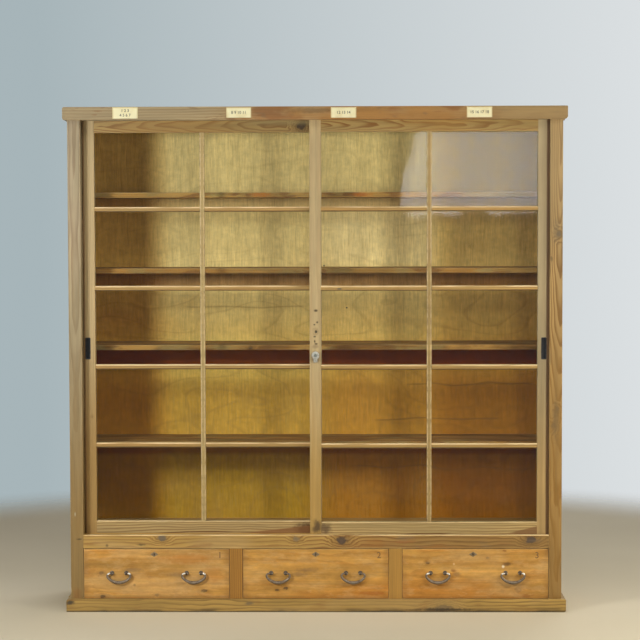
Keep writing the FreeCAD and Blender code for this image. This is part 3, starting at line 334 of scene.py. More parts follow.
class Wood(Finish):
    """A board's finish. A place given as (x, z) lies on the board's face, and sizes may leave out y too."""

    def __init__(self, name, grain, pale, late, middle, spacing=0.006, depth=0.5, bend=0.02, seed=0, knots=(),
                 face=0.0, mottle=1.1, lean=0.0, waves=0.004):
        super().__init__(name)
        self.grain = "XYZ".index(grain)
        self.axes = self.parts(self.place)
        self.shift = (seed * 1.37, seed * 2.11, seed * 0.73)
        self.face = face
        self.shown = None
        off = [self.axes[axis] - part for axis, part in zip(ACROSS[grain], middle)]
        if lean:
            deep = ACROSS[grain].index(1)
            off[deep] = off[deep] + self.axes[self.grain] * lean
        wander = self.streak(1.6, 0.35) - 0.5
        sway = self.streak(8.0, 0.22) - 0.5
        ripple = self.streak(24.0, 0.25) - 0.5
        reach = (off[0] * off[0] + off[1] * off[1]) ** 0.5
        reach = reach + wander * bend + sway * bend * 0.4 + ripple * waves
        knots = [self.knot(*knot) for knot in knots]
        for away, push, shade in knots:
            reach = reach + push
        rings = self.math("FRACT", reach / spacing)
        self.rings = self.ramp(rings, (0.0, 0.0), (0.4, 0.06), (0.82, 1.0), (0.94, 0.85), (1.0, 0.0))
        self.fibre = self.streak(420.0, 0.012, 3.0)
        self.flow = self.streak(62.0, 0.035, 6.0, 0.68)
        broad = self.streak(13.0, 0.12, 4.0, 0.6)
        strength = self.rings * (0.3 + self.flow * 1.2 + self.step(broad, 0.36, 0.64) * 1.2) * depth
        self.colour = self.mix(strength, pale, late)
        self.scale(1.0 + (broad - 0.5) * mottle)
        self.knot_depth = 0.0
        for away, push, shade in knots:
            core = self.step(away, 1.15, 0.6)
            self.tint(self.step(away, 2.6, 0.8) * 0.4, [part * 0.7 for part in late])
            self.tint(core * 0.9, shade)
            self.tint(self.step(away, 0.6, 0.0) * 0.4, [part * 0.5 + 0.06 for part in late])
            self.knot_depth = self.knot_depth + core

    def streak(self, scale, along, detail=2.0, rough=0.5):
        """Noise drawn out along the grain."""
        stretch = [1.0, 1.0, 1.0]
        stretch[self.grain] = along
        moved = self.vector("ADD", self.place, self.shift)
        return self.noise(self.vector("MULTIPLY", moved, stretch), scale, detail, rough)

    def filled(self, pair, y):
        """A pair without y is given one."""
        return pair if len(pair) == 3 else (pair[0], y, pair[1])

    def knot(self, centre, radius, shade, length=1.5):
        """How far a place is from the knot, how far the knot pushes the rings, and its colour."""
        radii = [radius] * 3
        radii[self.grain] = radius * length
        away = self.near(self.filled(centre, self.face), radii)
        away = away + (self.noise(self.place, 0.9 / radius, 3.0) - 0.5) * 1.5
        push = self.step(away, 3.4, 0.4) * radius * 1.5
        return away, push, shade

    def x(self, start, end):
        """How far along X a place is from start, as 0, to end, as 1."""
        return self.step(self.axes[0], start, end)

    def z(self, start, end):
        return self.step(self.axes[2], start, end)

    def cloud(self, scale, low, high):
        """Soft patches, longer along the grain."""
        return self.step(self.streak(scale, 0.3, 3.0), low, high)

    def tint(self, share, colour, way="MIX"):
        if self.shown:
            share = share * self.shown
        self.colour = self.mix(share, self.colour, colour, way)

    def stain(self, centre, radii, colour, strength):
        away = self.near(self.filled(centre, self.face), self.filled(radii, STAIN_DEEP))
        away = away + (self.noise(self.place, 70.0, 3.0) - 0.5) * 1.1
        self.tint(self.step(away, 1.1, 0.25) * strength, colour)

    def line(self, level, ends, colour, height, thickness, strength):
        """A wandering dark line, such as a figure in veneer or a gap with dirt in it."""
        sway = (self.streak(5.0, 1.0, 1.0) - 0.5) * height
        off = self.math("ABSOLUTE", self.axes[2] - level + sway)
        shown = self.step(off, thickness, thickness * 0.25)
        shown = shown * self.x(ends[0], ends[0] + 0.05) * self.x(ends[1], ends[1] - 0.05)
        self.tint(shown * strength, colour)

    def wedge(self, start, level, slope, colour, strength):
        """Darker wood under a line that rises to the right from its start."""
        over = self.axes[2] - (self.axes[0] - start) * slope + (self.streak(9.0, 0.5) - 0.5) * 0.008
        under = self.step(over, level + 0.0025, level - 0.0025) * self.x(start, start + 0.05)
        self.tint(under * strength, colour)

    def done(self, tone=None, roughness=0.52, wear_and_highlight=(0.62, 0.47, 0.26), wear_and_highlight_share=0.5, grit=0.16,
             relief=0.00035, gleam=0.35):
        """Tone of the whole board, fibres, arrises with wear, painted highlight and painted shade, gloss and
        relief.
        """
        if tone:
            self.tint(1.0, tone, "MULTIPLY")
        self.scale(1.0 + (self.fibre - 0.5) * grit * 1.6 + (self.flow - 0.5) * grit * 5.0)
        edge = self.worn()
        # Marked arrises are paled as wear and, where they look up, as a painted highlight; minus-marked ones
        # darken as painted shade.
        self.tint(edge * self.step(self.streak(60.0, 0.1), 0.25, 0.6) * wear_and_highlight_share, wear_and_highlight)
        self.tint(edge * -0.6, DIRT_AND_SHADE)
        gloss = roughness - 0.1 + self.fibre * 0.1 + self.flow * 0.12
        height = self.rings * 0.35 + self.fibre * 0.8 - self.knot_depth * 0.4
        normal = self.bump(height, relief)
        self.surface(
            {"Base Color": self.colour, "Roughness": gloss, "Normal": normal, "Specular IOR Level": gleam}
        )
        return self

    def scale(self, value):
        """Makes the colour so far lighter or darker."""
        self.colour = self.node("VectorMath", {0: self.colour, "Scale": value}, operation="SCALE")


# %% [markdown]
# Every board has its own character in the photograph, and that, more than fine detail, makes the cabinet
# look real. The top beam is greyish tan at its left end, turns orange in patches and is warm brown at the
# right. The posts are paler at the top. The drawer fronts are the warmest wood, with small dark knots.

# %% Carcass boards
KNOT = (0.075, 0.045, 0.022)
GREY_KNOT = (0.13, 0.105, 0.075)
BROWN = (0.14, 0.058, 0.015)
SMUDGE = (0.24, 0.15, 0.075)
BEAM_FACE, POST_FACE, DRAWER_FACE, SHELF_FACE = -0.2165, -0.2015, -0.2, -0.0565
LEFT_DOOR_FACE, RIGHT_DOOR_FACE = -0.1595, -0.1895
PLY_FACE, PLY_INSIDE = 0.1965, 0.1985

wood = Wood(
    "beam_pine", "X", (0.38, 0.28, 0.155), (0.24, 0.145, 0.065), (-0.20, 1.72), 0.009, 0.42, 0.03, 1,
    face=BEAM_FACE, lean=0.03, waves=0.01, knots=[((0.345, 1.782), 0.007, BROWN)],
)
patch = wood.cloud(15.0, 0.38, 0.6)
wood.tint(wood.x(-0.42, -0.05) * (0.25 + patch * 0.75), (0.37, 0.175, 0.048))
wood.tint(wood.x(-0.25, 0.15) * 0.6, (0.34, 0.165, 0.045))
wood.tint(wood.x(-0.45, -0.2) * wood.cloud(26.0, 0.5, 0.66) * 0.75, (0.23, 0.085, 0.02))
wood.tint(wood.cloud(60.0, 0.6, 0.72) * 0.5, (0.2, 0.12, 0.06))
wood.stain((-0.775, 1.80), (0.02, 0.03, 0.004), (0.24, 0.11, 0.04), 0.6)
wood.stain((-0.785, 1.787), (0.012, 0.03, 0.003), (0.24, 0.11, 0.04), 0.6)
wood.tint(wood.x(0.45, 0.72) * 0.75, (0.31, 0.21, 0.095))
wood.stain((0.0, 1.80), (0.16, 0.03, 0.012), (0.16, 0.085, 0.03), 0.5)
beam = wood.done(tone=(0.9, 0.93, 0.9))

wood = Wood(
    "left_post_pine", "Z", (0.43, 0.345, 0.215), (0.27, 0.19, 0.1), (-0.86, -0.15), 0.0075, 0.5, 0.03, 2,
    mottle=1.7, lean=0.02, waves=0.008, face=POST_FACE,
)
wood.tint(wood.cloud(16.0, 0.5, 0.68) * 0.4, (0.27, 0.2, 0.12))
wood.tint(wood.z(1.1, 0.25) * 0.85, (0.34, 0.21, 0.07))
wood.tint(wood.z(1.0, 1.6) * wood.cloud(9.0, 0.4, 0.7) * 0.3, (0.46, 0.33, 0.27))
wood.stain((-0.868, 0.352), (0.003, 0.01, 0.012), (0.7, 0.66, 0.55), 0.8)
wood.stain((-0.855, 0.262), (0.012, 0.004), DIRT_AND_SHADE, 0.7)
wood.stain((-0.862, 0.062), (0.02, 0.03, 0.03), (0.35, 0.16, 0.04), 0.6)
wood.tint(wood.z(1.25, 1.6), (0.92, 0.94, 0.98), "MULTIPLY")
left_post = wood.done(tone=(0.79, 0.78, 0.72))

wood = Wood(
    "right_post_pine", "Z", (0.43, 0.285, 0.125), (0.2, 0.105, 0.032), (0.878, -0.127), 0.0062, 0.58, 0.05, 3,
    mottle=1.6, lean=0.04, waves=0.01, face=POST_FACE, knots=[((0.871, 1.359), 0.008, GREY_KNOT),
    ((0.867, 0.732), 0.007, GREY_KNOT), ((0.853, 0.671), 0.008, GREY_KNOT),
    ((0.868, 0.70), 0.006, (0.4, 0.24, 0.09))],
)
wood.tint(wood.z(1.4, 0.5) * 0.55, (0.42, 0.22, 0.045))
wood.tint(wood.z(1.3, 1.6) * 0.3, (0.55, 0.4, 0.22))
wood.stain((0.862, 0.69), (0.016, 0.03, 0.09), (0.2, 0.14, 0.075), 0.5)
wood.stain((0.862, 1.37), (0.018, 0.03, 0.06), (0.22, 0.16, 0.09), 0.5)
wood.stain((0.845, 1.27), (0.006, 0.012), DIRT_AND_SHADE, 0.5)
wood.tint(wood.cloud(22.0, 0.55, 0.7) * 0.45, (0.22, 0.15, 0.08))
right_post = wood.done(tone=(0.80, 0.79, 0.72))

wood = Wood(
    "sill_pine", "X", (0.47, 0.29, 0.08), (0.24, 0.115, 0.03), (-0.27, 0.19), 0.0095, 0.48, 0.03, 4, waves=0.02,
    face=POST_FACE, knots=[((-0.555, 0.267), 0.011, GREY_KNOT), ((0.095, 0.257), 0.015, (0.085, 0.06, 0.045)),
    ((0.774, 0.260), 0.013, (0.1, 0.075, 0.055)), ((-0.071, 0.263), 0.009, (0.24, 0.17, 0.09))],
)
wood.tint(wood.x(-0.1, 0.25), (0.72, 0.68, 0.72), "MULTIPLY")
wood.tint(wood.x(0.0, 0.3) * wood.cloud(16.0, 0.5, 0.66) * 0.6, (0.33, 0.14, 0.03))
wood.tint(wood.x(0.0, 0.3) * wood.cloud(21.0, 0.55, 0.7) * 0.5, (0.19, 0.15, 0.1))
wood.tint(wood.cloud(9.0, 0.52, 0.66) * wood.x(0.1, -0.15) * 0.4, (0.5, 0.34, 0.15))
wood.tint(wood.cloud(31.0, 0.58, 0.68) * 0.4, (0.3, 0.15, 0.045))
wood.stain((-0.63, 0.242), (0.02, 0.005), DIRT_AND_SHADE, 0.7)
wood.stain((-0.754, 0.239), (0.006, 0.007), DIRT_AND_SHADE, 0.6)
wood.stain((0.32, 0.252), (0.05, 0.008), (0.33, 0.12, 0.03), 0.5)
sill = wood.done(wear_and_highlight=(0.92, 0.70, 0.38), wear_and_highlight_share=0.9)

wood = Wood(
    "plinth_pine", "X", (0.45, 0.285, 0.08), (0.2, 0.12, 0.035), (-0.28, 0.10), 0.0095, 0.48, 0.03, 5,
    waves=0.022, face=BEAM_FACE, knots=[((0.457, 0.016), 0.012, (0.05, 0.042, 0.035), 2.4)],
)
wood.tint(wood.cloud(8.0, 0.5, 0.64) * 0.4, (0.46, 0.305, 0.12))
wood.tint(wood.cloud(27.0, 0.56, 0.68) * 0.45, (0.3, 0.155, 0.045))
wood.stain((0.46, 0.009), (0.13, 0.03, 0.008), DIRT_AND_SHADE, 0.9)
wood.stain((-0.887, 0.034), (0.02, 0.04, 0.01), (0.04, 0.035, 0.028), 0.9)
wood.stain((-0.241, 0.031), (0.022, 0.03, 0.008), (0.13, 0.105, 0.075), 0.7)
wood.tint(wood.z(0.007, 0.001) * 0.85, DIRT_AND_SHADE)
wood.tint(wood.z(0.02, 0.0) * wood.cloud(24.0, 0.45, 0.62) * 0.8, DIRT_AND_SHADE)
plinth_wood = wood.done()

wood = Wood("divider_pine", "Z", (0.40, 0.195, 0.035), (0.2, 0.085, 0.02), (0.0, -0.42), 0.006, 0.4, 0.02, 6)
wood.tint(wood.x(-0.1, 0.2) * 0.6, (0.47, 0.27, 0.065))
divider_wood = wood.done()

end_wood = Wood("end_board_pine", "X", (0.42, 0.29, 0.13), (0.25, 0.145, 0.05), (0.1, 0.9), 0.007, 0.4, 0.03, 7)
end_wood.done()
wood = Wood("end_panel_cedar", "Z", (0.40, 0.27, 0.12), (0.25, 0.15, 0.06), (1.15, 0.05), 0.008, 0.4, 0.04, 8)
wood.tint(wood.cloud(4.0, 0.4, 0.7) * 0.4, (0.44, 0.25, 0.09))
panel_wood = wood.done()
back_post_wood = Wood(
    "back_post_pine", "Z", (0.41, 0.30, 0.15), (0.25, 0.16, 0.07), (0.7, 0.3), 0.006, 0.35, 0.02, 9,
)
back_post_wood.done()
wood = Wood(
    "top_board_cedar", "X", (0.34, 0.24, 0.12), (0.19, 0.115, 0.045), (0.02, 1.72), 0.009, 0.5, 0.06, 10,
)
wood.tint(wood.cloud(5.0, 0.35, 0.7) * 0.5, (0.25, 0.2, 0.13))
top_wood = wood.done(roughness=0.6)
rail_wood = Wood(
    "top_rail_pine", "Y", (0.38, 0.265, 0.13), (0.22, 0.135, 0.05), (0.88, 1.7), 0.006, 0.5, 0.02, 11,
)
rail_wood.done()
batten_wood = Wood(
    "batten_cedar", "X", (0.38, 0.26, 0.12), (0.22, 0.13, 0.05), (0.32, 0.9), 0.008, 0.5, 0.03, 12,
)
batten_wood.done(roughness=0.66)
print("carcass finishes", len(bpy.data.materials))

# %% Shelves and drawer insides
wood = Wood(
    "shelf_cedar", "X", (0.47, 0.31, 0.13), (0.27, 0.145, 0.045), (-0.15, 0.92), 0.007, 0.55, 0.03, 13,
    face=SHELF_FACE, knots=[((-0.245, 1.503), 0.007, KNOT), ((-0.24, 0.945), 0.007, KNOT),
    ((0.62, -0.03, 1.23), 0.012, KNOT)],
)
wood.tint(wood.cloud(6.0, 0.45, 0.65) * 0.45, (0.45, 0.235, 0.075))
wood.tint(wood.z(1.4, 0.95), (0.72, 0.66, 0.6), "MULTIPLY")
wood.tint(wood.cloud(18.0, 0.48, 0.6) * 0.7, (0.31, 0.25, 0.14))
wood.tint(wood.cloud(13.0, 0.5, 0.6) * 0.5, (0.64, 0.4, 0.16))
wood.tint(wood.cloud(34.0, 0.54, 0.63) * 0.75, (0.2, 0.1, 0.04))
for place, wide, shade in (
    ((-0.36, 1.504), 0.05, (0.36, 0.31, 0.17)),
    ((-0.20, 1.504), 0.05, (0.5, 0.2, 0.05)),
    ((0.17, 1.504), 0.05, (0.45, 0.17, 0.04)),
    ((-0.34, 0.946), 0.06, (0.36, 0.3, 0.17)),
    ((0.62, 1.227), 0.05, (0.33, 0.28, 0.17)),
    ((0.3, 0.59), 0.09, (0.36, 0.28, 0.15)),
):
    wood.stain(place, (wide, 0.04, 0.012), shade, 0.75)
shelf_wood = wood.done(tone=(0.86, 0.75, 0.46), roughness=0.62, gleam=0.15)
box_wood = Wood(
    "drawer_box_cedar", "Y", (0.52, 0.38, 0.2), (0.33, 0.2, 0.08), (0.3, 0.35), 0.007, 0.5, 0.03, 14,
)
box_wood.done(roughness=0.64)
wood = Wood("inner_cedar", "X", (0.46, 0.33, 0.16), (0.3, 0.18, 0.07), (0.0, 0.6), 0.007, 0.45, 0.03, 15)
wood.tint(wood.z(0.24, 0.27) * 0.7, (0.46, 0.28, 0.08))
inner_wood = wood.done(roughness=0.75, gleam=0.08)

# %% [markdown]
# The back is plywood. Its face veneer was peeled from the log, so it has fine upright fibres with no arches,
# a quilted figure whose shimmer is painted into its colour, and a few wavy brown lines where the knife crossed
# a ring. It is olive yellow at the top, and lower down it is painted darker and orange brown as the shelves'
# shade.
# Painted shadow also lies under each shelf and in the strips that the posts shade, and a painted pool of light
# brightens the right of the second compartment from the top.

# %% Plywood
wood = Wood(
    "back_veneer", "Z", (0.76, 0.605, 0.255), (0.60, 0.44, 0.15), (0.3, 2.4), 0.011, 0.08, 0.02, 16, mottle=0.5,
)
wood.shown = wood.step(wood.axes[1], PLY_INSIDE, PLY_FACE)
# Painted shade: darker and more orange brown lower down, where the shelves above keep the light off.
wood.tint(wood.z(1.25, 0.9) * 0.7, (0.66, 0.42, 0.075))
wood.tint(wood.z(0.95, 0.72) * 0.75, (0.60, 0.285, 0.018))
wood.tint(wood.z(0.62, 0.48) * 0.6, (0.44, 0.175, 0.008))
wood.tint(wood.z(0.62, 0.48) * wood.x(0.1, -0.1) * 0.6, (0.5, 0.29, 0.016))
# A painted pool of light: the back is made brighter and bluer on the right of the second compartment.
bright = wood.x(-0.05, 0.1) * wood.x(0.5, 0.38) * wood.z(1.2, 1.28) * wood.z(1.5, 1.42)
wood.tint(bright, (1.13, 1.15, 1.3), "MULTIPLY")
mottled = wood.step(wood.noise(wood.place, 4.5, 4.0, 0.6), 0.42, 0.68)
wood.tint(mottled * wood.z(1.5, 0.7) * 0.4, (0.55, 0.29, 0.055))
# The quilted figure, with its shimmer painted into the colour as lighter and darker patches.
quilt = wood.noise(wood.vector("MULTIPLY", wood.place, (1.0, 1.0, 1.5)), 34.0, 3.0, 0.6)
wood.scale(1.0 + (quilt - 0.5) * 0.5)
wood.tint(wood.step(wood.streak(260.0, 0.06, 3.0), 0.5, 0.7) * 0.35, (0.44, 0.29, 0.08))
wood.scale(1.0 + (wood.streak(130.0, 0.09, 4.0, 0.72) - 0.5) * 0.8)
loops = wood.noise(wood.vector("MULTIPLY", wood.place, (0.8, 1.0, 1.7)), 1.7, 2.0) * 13.0
loops = wood.math("FRACT", loops + wood.noise(wood.place, 14.0) * 0.25)
loops = wood.ramp(loops, (0.0, 0.0), (0.78, 0.0), (0.93, 1.0), (1.0, 0.0))
wood.tint(loops * (wood.z(1.35, 1.0) * 0.16 + 0.12), (0.34, 0.19, 0.045))
# Painted shadow: a dark band under each shelf, ending where a window bar hides it.
for shelf, fade, shelf_shadow_strength in ((1.495, 1.437, 0.3), (1.217, 1.141, 0.6), (0.936, 0.846, 1.0), (0.580, 0.51, 0.6)):
    shade = wood.z(fade, fade + 0.025) * wood.z(shelf + 0.004, shelf)
    wood.tint(shade * shelf_shadow_strength, (0.4, 0.12, 0.02), "MULTIPLY")
# Painted shade in the strip of the back that the left post shadows.
wood.tint(wood.x(-0.52, -0.68), (0.84, 0.62, 0.3), "MULTIPLY")
wood.tint(wood.z(1.0, 0.9) * wood.x(0.12, -0.05), (1.02, 1.13, 1.14), "MULTIPLY")
wood.tint(wood.z(1.0, 0.9) * wood.x(-0.1, 0.1), (0.96, 0.9, 0.72), "MULTIPLY")
# Painted shade on the right part of the back, which the right post shadows.
wood.tint(wood.x(0.38, 0.5), (0.93, 0.80, 0.58), "MULTIPLY")
for level, ends, height, strength in (
    (0.79, (0.32, 0.84), 0.07, 0.6),
    (0.655, (0.2, 0.72), 0.03, 0.65),
    (0.47, (0.12, 0.84), 0.08, 0.55),
    (1.083, (-0.52, -0.02), 0.02, 0.35),
):
    wood.line(level, ends, (0.3, 0.15, 0.03), height, 0.005, strength)
ply = wood.done(roughness=0.6, grit=0.05, relief=0.0003, gleam=0.1)

# %% Door and drawer woods
wood = Wood(
    "stile_pine", "Z", (0.45, 0.34, 0.175), (0.28, 0.18, 0.08), (0.0, -0.4), 0.0055, 0.4, 0.015, 17,
    face=LEFT_DOOR_FACE, knots=[((-0.809, 0.702), 0.004, (0.1, 0.08, 0.06))],
)
wood.tint(wood.z(1.1, 0.5) * 0.8, (0.32, 0.18, 0.045))
# Painted shadow of the left post along the outer edge of the stile.
wood.tint(wood.x(-0.829, -0.833) * 0.75, (0.14, 0.06, 0.02))
door_stile = wood.done(wear_and_highlight=(0.62, 0.5, 0.32))

wood = Wood(
    "centre_stile_pine", "Z", (0.53, 0.40, 0.21), (0.36, 0.24, 0.11), (0.03, -0.35), 0.006, 0.35, 0.015, 18,
    face=RIGHT_DOOR_FACE, knots=[((0.003, 1.011), 0.0048, (0.006, 0.005, 0.004), 1.4)],
)
wood.tint(wood.z(0.95, 0.4) * 0.8, (0.40, 0.235, 0.05))
for x, z, wide, high in (
    (0.007, 1.044, 0.005, 0.005),
    (-0.003, 1.036, 0.005, 0.004),
    (-0.001, 0.993, 0.006, 0.004),
    (0.003, 0.967, 0.009, 0.004),
    (-0.002, 0.975, 0.004, 0.007),
    (0.001, 1.086, 0.009, 0.006),
):
    wood.stain((x, z), (wide, high), (0.075, 0.048, 0.022), 0.9)
wood.stain((0.0, 0.957), (0.014, 0.012), (0.2, 0.13, 0.07), 0.5)
# Dirt and painted shadow round the door lock.
wood.stain((0.0, 0.918), (0.0235, 0.026), (0.07, 0.045, 0.02), 0.85)
wood.stain((0.004, 0.305), (0.022, 0.032), (0.07, 0.04, 0.02), 0.85)
centre_stile = wood.done(wear_and_highlight=(0.66, 0.53, 0.33))

wood = Wood(
    "left_rail_pine", "X", (0.39, 0.26, 0.10), (0.2, 0.095, 0.024), (-0.125, 1.752), 0.0045, 0.45, 0.02, 19,
    lean=0.045, waves=0.012, face=LEFT_DOOR_FACE, knots=[((-0.048, 1.749), 0.015, (0.06, 0.032, 0.015), 1.1)],
)
wood.tint(wood.x(-0.78, -0.62) * wood.x(-0.2, -0.45) * 0.4, (0.40, 0.22, 0.06))
wood.tint(wood.z(1.745, 1.76) * wood.x(-0.3, -0.15) * 0.5, (0.33, 0.26, 0.13))
left_rail = wood.done(tone=(0.84, 0.84, 0.74), wear_and_highlight=(0.85, 0.66, 0.36), wear_and_highlight_share=0.85)

wood = Wood(
    "right_rail_pine", "X", (0.40, 0.27, 0.105), (0.22, 0.10, 0.025), (-0.205, 1.750), 0.0045, 0.55, 0.025, 20,
    lean=0.045, waves=0.014,
)
wood.tint(wood.cloud(9.0, 0.45, 0.65) * 0.4, (0.42, 0.22, 0.055))
right_rail = wood.done(tone=(0.88, 0.88, 0.78), wear_and_highlight=(0.88, 0.68, 0.36), wear_and_highlight_share=0.85)

wood = Wood(
    "left_low_rail_pine", "X", (0.44, 0.31, 0.13), (0.2, 0.11, 0.035), (-0.22, 0.21), 0.008, 0.42, 0.03, 26,
    waves=0.014, face=LEFT_DOOR_FACE,
)
wood.line(0.281, (-0.60, -0.28), BROWN, 0.012, 0.003, 0.9)
wood.line(0.279, (-0.30, -0.05), BROWN, 0.008, 0.002, 0.7)
wood.stain((-0.03, 0.294), (0.06, 0.026), (0.1, 0.045, 0.016), 0.9)
wood.wedge(-0.27, 0.277, 0.11, (0.25, 0.11, 0.035), 0.85)
left_low_rail = wood.done(wear_and_highlight=(0.85, 0.66, 0.36), wear_and_highlight_share=0.85)

wood = Wood(
    "right_low_rail_pine", "X", (0.45, 0.32, 0.135), (0.21, 0.115, 0.035), (-0.25, 0.21), 0.008, 0.42, 0.03, 27,
    waves=0.014, face=RIGHT_DOOR_FACE,
)
wood.line(0.281, (0.30, 0.50), BROWN, 0.012, 0.003, 0.9)
wood.line(0.279, (0.48, 0.72), BROWN, 0.01, 0.002, 0.6)
wood.wedge(0.68, 0.278, 0.25, (0.2, 0.09, 0.03), 0.8)
wood.stain((0.035, 0.300), (0.03, 0.025), (0.09, 0.05, 0.025), 0.8)
right_low_rail = wood.done(wear_and_highlight=(0.88, 0.68, 0.36), wear_and_highlight_share=0.85)

wood = Wood("bar_pine", "X", (0.46, 0.30, 0.12), (0.3, 0.17, 0.06), (-0.3, 1.0), 0.006, 0.4, 0.02, 21)
wood.tint(wood.cloud(12.0, 0.45, 0.65) * 0.35, (0.45, 0.24, 0.075))
for side, shade in (("left", (0.46, 0.35, 0.175)), ("right", (0.38, 0.27, 0.125))):
    low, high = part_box(side + "_door_bars")
    upright = wood.near(((low.x + high.x) / 2, -0.16, 0.9), (0.0095, 1.0, 5.0))
    wood.tint(wood.step(upright, 1.1, 0.9) * 0.8, shade)
wood.stain((0.086, -0.188, 1.1645), (0.015, 0.0035), (0.1, 0.1, 0.09), 0.95)
bar_wood = wood.done(tone=(0.86, 0.84, 0.72), wear_and_highlight=(0.92, 0.72, 0.42), wear_and_highlight_share=0.85)

wood = Wood(
    "outer_stile_pine", "Z", (0.40, 0.315, 0.18), (0.26, 0.19, 0.1), (0.78, -0.4), 0.0055, 0.35, 0.015, 22,
)
wood.tint(wood.z(0.95, 0.4) * 0.7, (0.56, 0.35, 0.12))
# Painted shadow of the right post along the outer edge of the stile.
wood.tint(wood.x(0.8265, 0.830) * 0.85, (0.13, 0.055, 0.018))
outer_stile = wood.done(tone=(0.84, 0.84, 0.84), wear_and_highlight=(0.62, 0.5, 0.3))

wood = Wood(
    "drawer_pine", "X", (0.57, 0.32, 0.08), (0.40, 0.18, 0.035), (-0.34, 0.14), 0.0105, 0.3, 0.05, 23,
    waves=0.02, mottle=1.5, face=DRAWER_FACE, knots=[((-0.775, 0.139), 0.0065, KNOT),
    ((-0.574, 0.059), 0.005, KNOT), ((-0.770, 0.053), 0.008, KNOT), ((-0.404, 0.074), 0.006, KNOT, 2.2),
    ((-0.108, 0.084), 0.006, KNOT), ((-0.140, 0.077), 0.004, KNOT, 2.2), ((0.404, 0.176), 0.005, KNOT),
    ((0.619, 0.194), 0.004, KNOT), ((0.728, 0.078), 0.013, (0.14, 0.085, 0.035), 1.0),
    ((0.673, 0.073), 0.007, (0.15, 0.09, 0.035), 0.8)],
)
wood.tint(wood.cloud(5.0, 0.42, 0.66) * 0.7, (0.54, 0.23, 0.035))
wood.tint(wood.cloud(11.0, 0.5, 0.7) * 0.6, (0.62, 0.40, 0.17))
wood.tint(wood.step(wood.streak(30.0, 0.5, 4.0, 0.65), 0.55, 0.7) * 0.35, (0.36, 0.16, 0.035))
wood.tint(wood.step(wood.streak(38.0, 0.4, 5.0, 0.7), 0.48, 0.62) * 0.35, (0.63, 0.42, 0.2))
wood.scale(1.0 + (wood.streak(70.0, 0.35, 5.0, 0.75) - 0.5) * 0.7)
for stain in (
    ((-0.46, 0.19), (0.12, 0.025), (0.47, 0.19, 0.025), 0.65),
    ((-0.37, 0.13), (0.05, 0.04), (0.47, 0.19, 0.025), 0.5),
    ((0.2, 0.065), (0.07, 0.01), (0.4, 0.13, 0.015), 0.7),
    ((-0.50, 0.132), (0.05, 0.01), SMUDGE, 0.55),
    ((-0.03, 0.15), (0.055, 0.01), SMUDGE, 0.55),
    ((-0.06, 0.135), (0.04, 0.01), SMUDGE, 0.55),
    ((0.51, 0.135), (0.018, 0.01), SMUDGE, 0.55),
    ((-0.66, 0.15), (0.05, 0.01), SMUDGE, 0.55),
    ((0.69, 0.172), (0.022, 0.009), (0.1, 0.05, 0.02), 0.75),
    ((0.497, 0.147), (0.012, 0.008), (0.28, 0.1, 0.02), 0.75),
    ((0.498, 0.172), (0.005, 0.006), (0.75, 0.55, 0.32), 0.8),
    ((0.675, 0.162), (0.006, 0.007), (0.85, 0.8, 0.7), 0.9),
    ((0.757, 0.055), (0.02, 0.008), (0.28, 0.1, 0.02), 0.6),
    ((0.68, 0.22), (0.01, 0.005), (0.25, 0.09, 0.02), 0.7),
    ((-0.655, 0.095), (0.006, 0.006), (0.2, 0.13, 0.06), 0.6),
):
    wood.stain(*stain)
wood.tint(wood.z(0.06, 0.048) * 0.3, (0.2, 0.09, 0.03))
for drawer in (1, 2, 3):
    low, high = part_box(f"drawer_{drawer}_front")
    inside = wood.x(low.x - 0.002, low.x + 0.03) * wood.x(high.x + 0.002, high.x - 0.03)
    near = wood.x(low.x - 0.003, low.x) * wood.x(high.x + 0.003, high.x)
    wood.tint(near * (1.0 - inside) * wood.cloud(24.0, 0.35, 0.6) * 0.55, (0.25, 0.125, 0.04))
drawer_wood = wood.done(tone=(0.97, 0.92, 0.82), wear_and_highlight=(0.66, 0.42, 0.17), wear_and_highlight_share=0.6, roughness=0.47)
print("finishes", len(bpy.data.materials))

# %% [markdown]
# A planed board never has knife-sharp corners: use rounds them, and the round catches the light as a bright
# line. Each wooden solid is copied, its triangles are joined into whole faces, and its long outer corners are
# bevelled. The new faces carry a mark that the finish reads: it pales them as hands do, and more where they
# look up, as a painted highlight; the window bars' faces that look down get a minus mark, painted as shade.
# The copy stands for the CAD solid, which stays hidden.

# %% Joined copies of CAD solids
FLAT = 1e-5


def solids_of(node):
    """Numbers of the triangles of each solid. Solids follow each other, and one ends where no edge is open."""
    mesh = nodes[node].data
    corners = [tuple(round(part * 1e6) for part in vert.co) for vert in mesh.vertices]
    found, current, open_edges = [], [], set()
    for triangle in mesh.polygons:
        current.append(triangle.index)
        ring = [corners[vert] for vert in triangle.vertices]
        for start, end in zip(ring, ring[1:] + ring[:1]):
            if (end, start) in open_edges:
                open_edges.remove((end, start))
            else:
                open_edges.add((start, end))
        if not open_edges:
            found.append(current)
            current = []
    return found + [current] * bool(current)


def joined_solid(node, triangles):
    """One solid of a node, with its loose triangles joined into faces."""
    bm = bmesh.new()
    bm.from_mesh(nodes[node].data)
    keep = set(triangles)
    others = [face for face in bm.faces if face.index not in keep]
    bmesh.ops.delete(bm, geom=others, context="FACES")
    bmesh.ops.remove_doubles(bm, verts=bm.verts, dist=FLAT)
    bmesh.ops.dissolve_limit(bm, angle_limit=math.radians(0.5), verts=bm.verts, edges=bm.edges)
    return bm


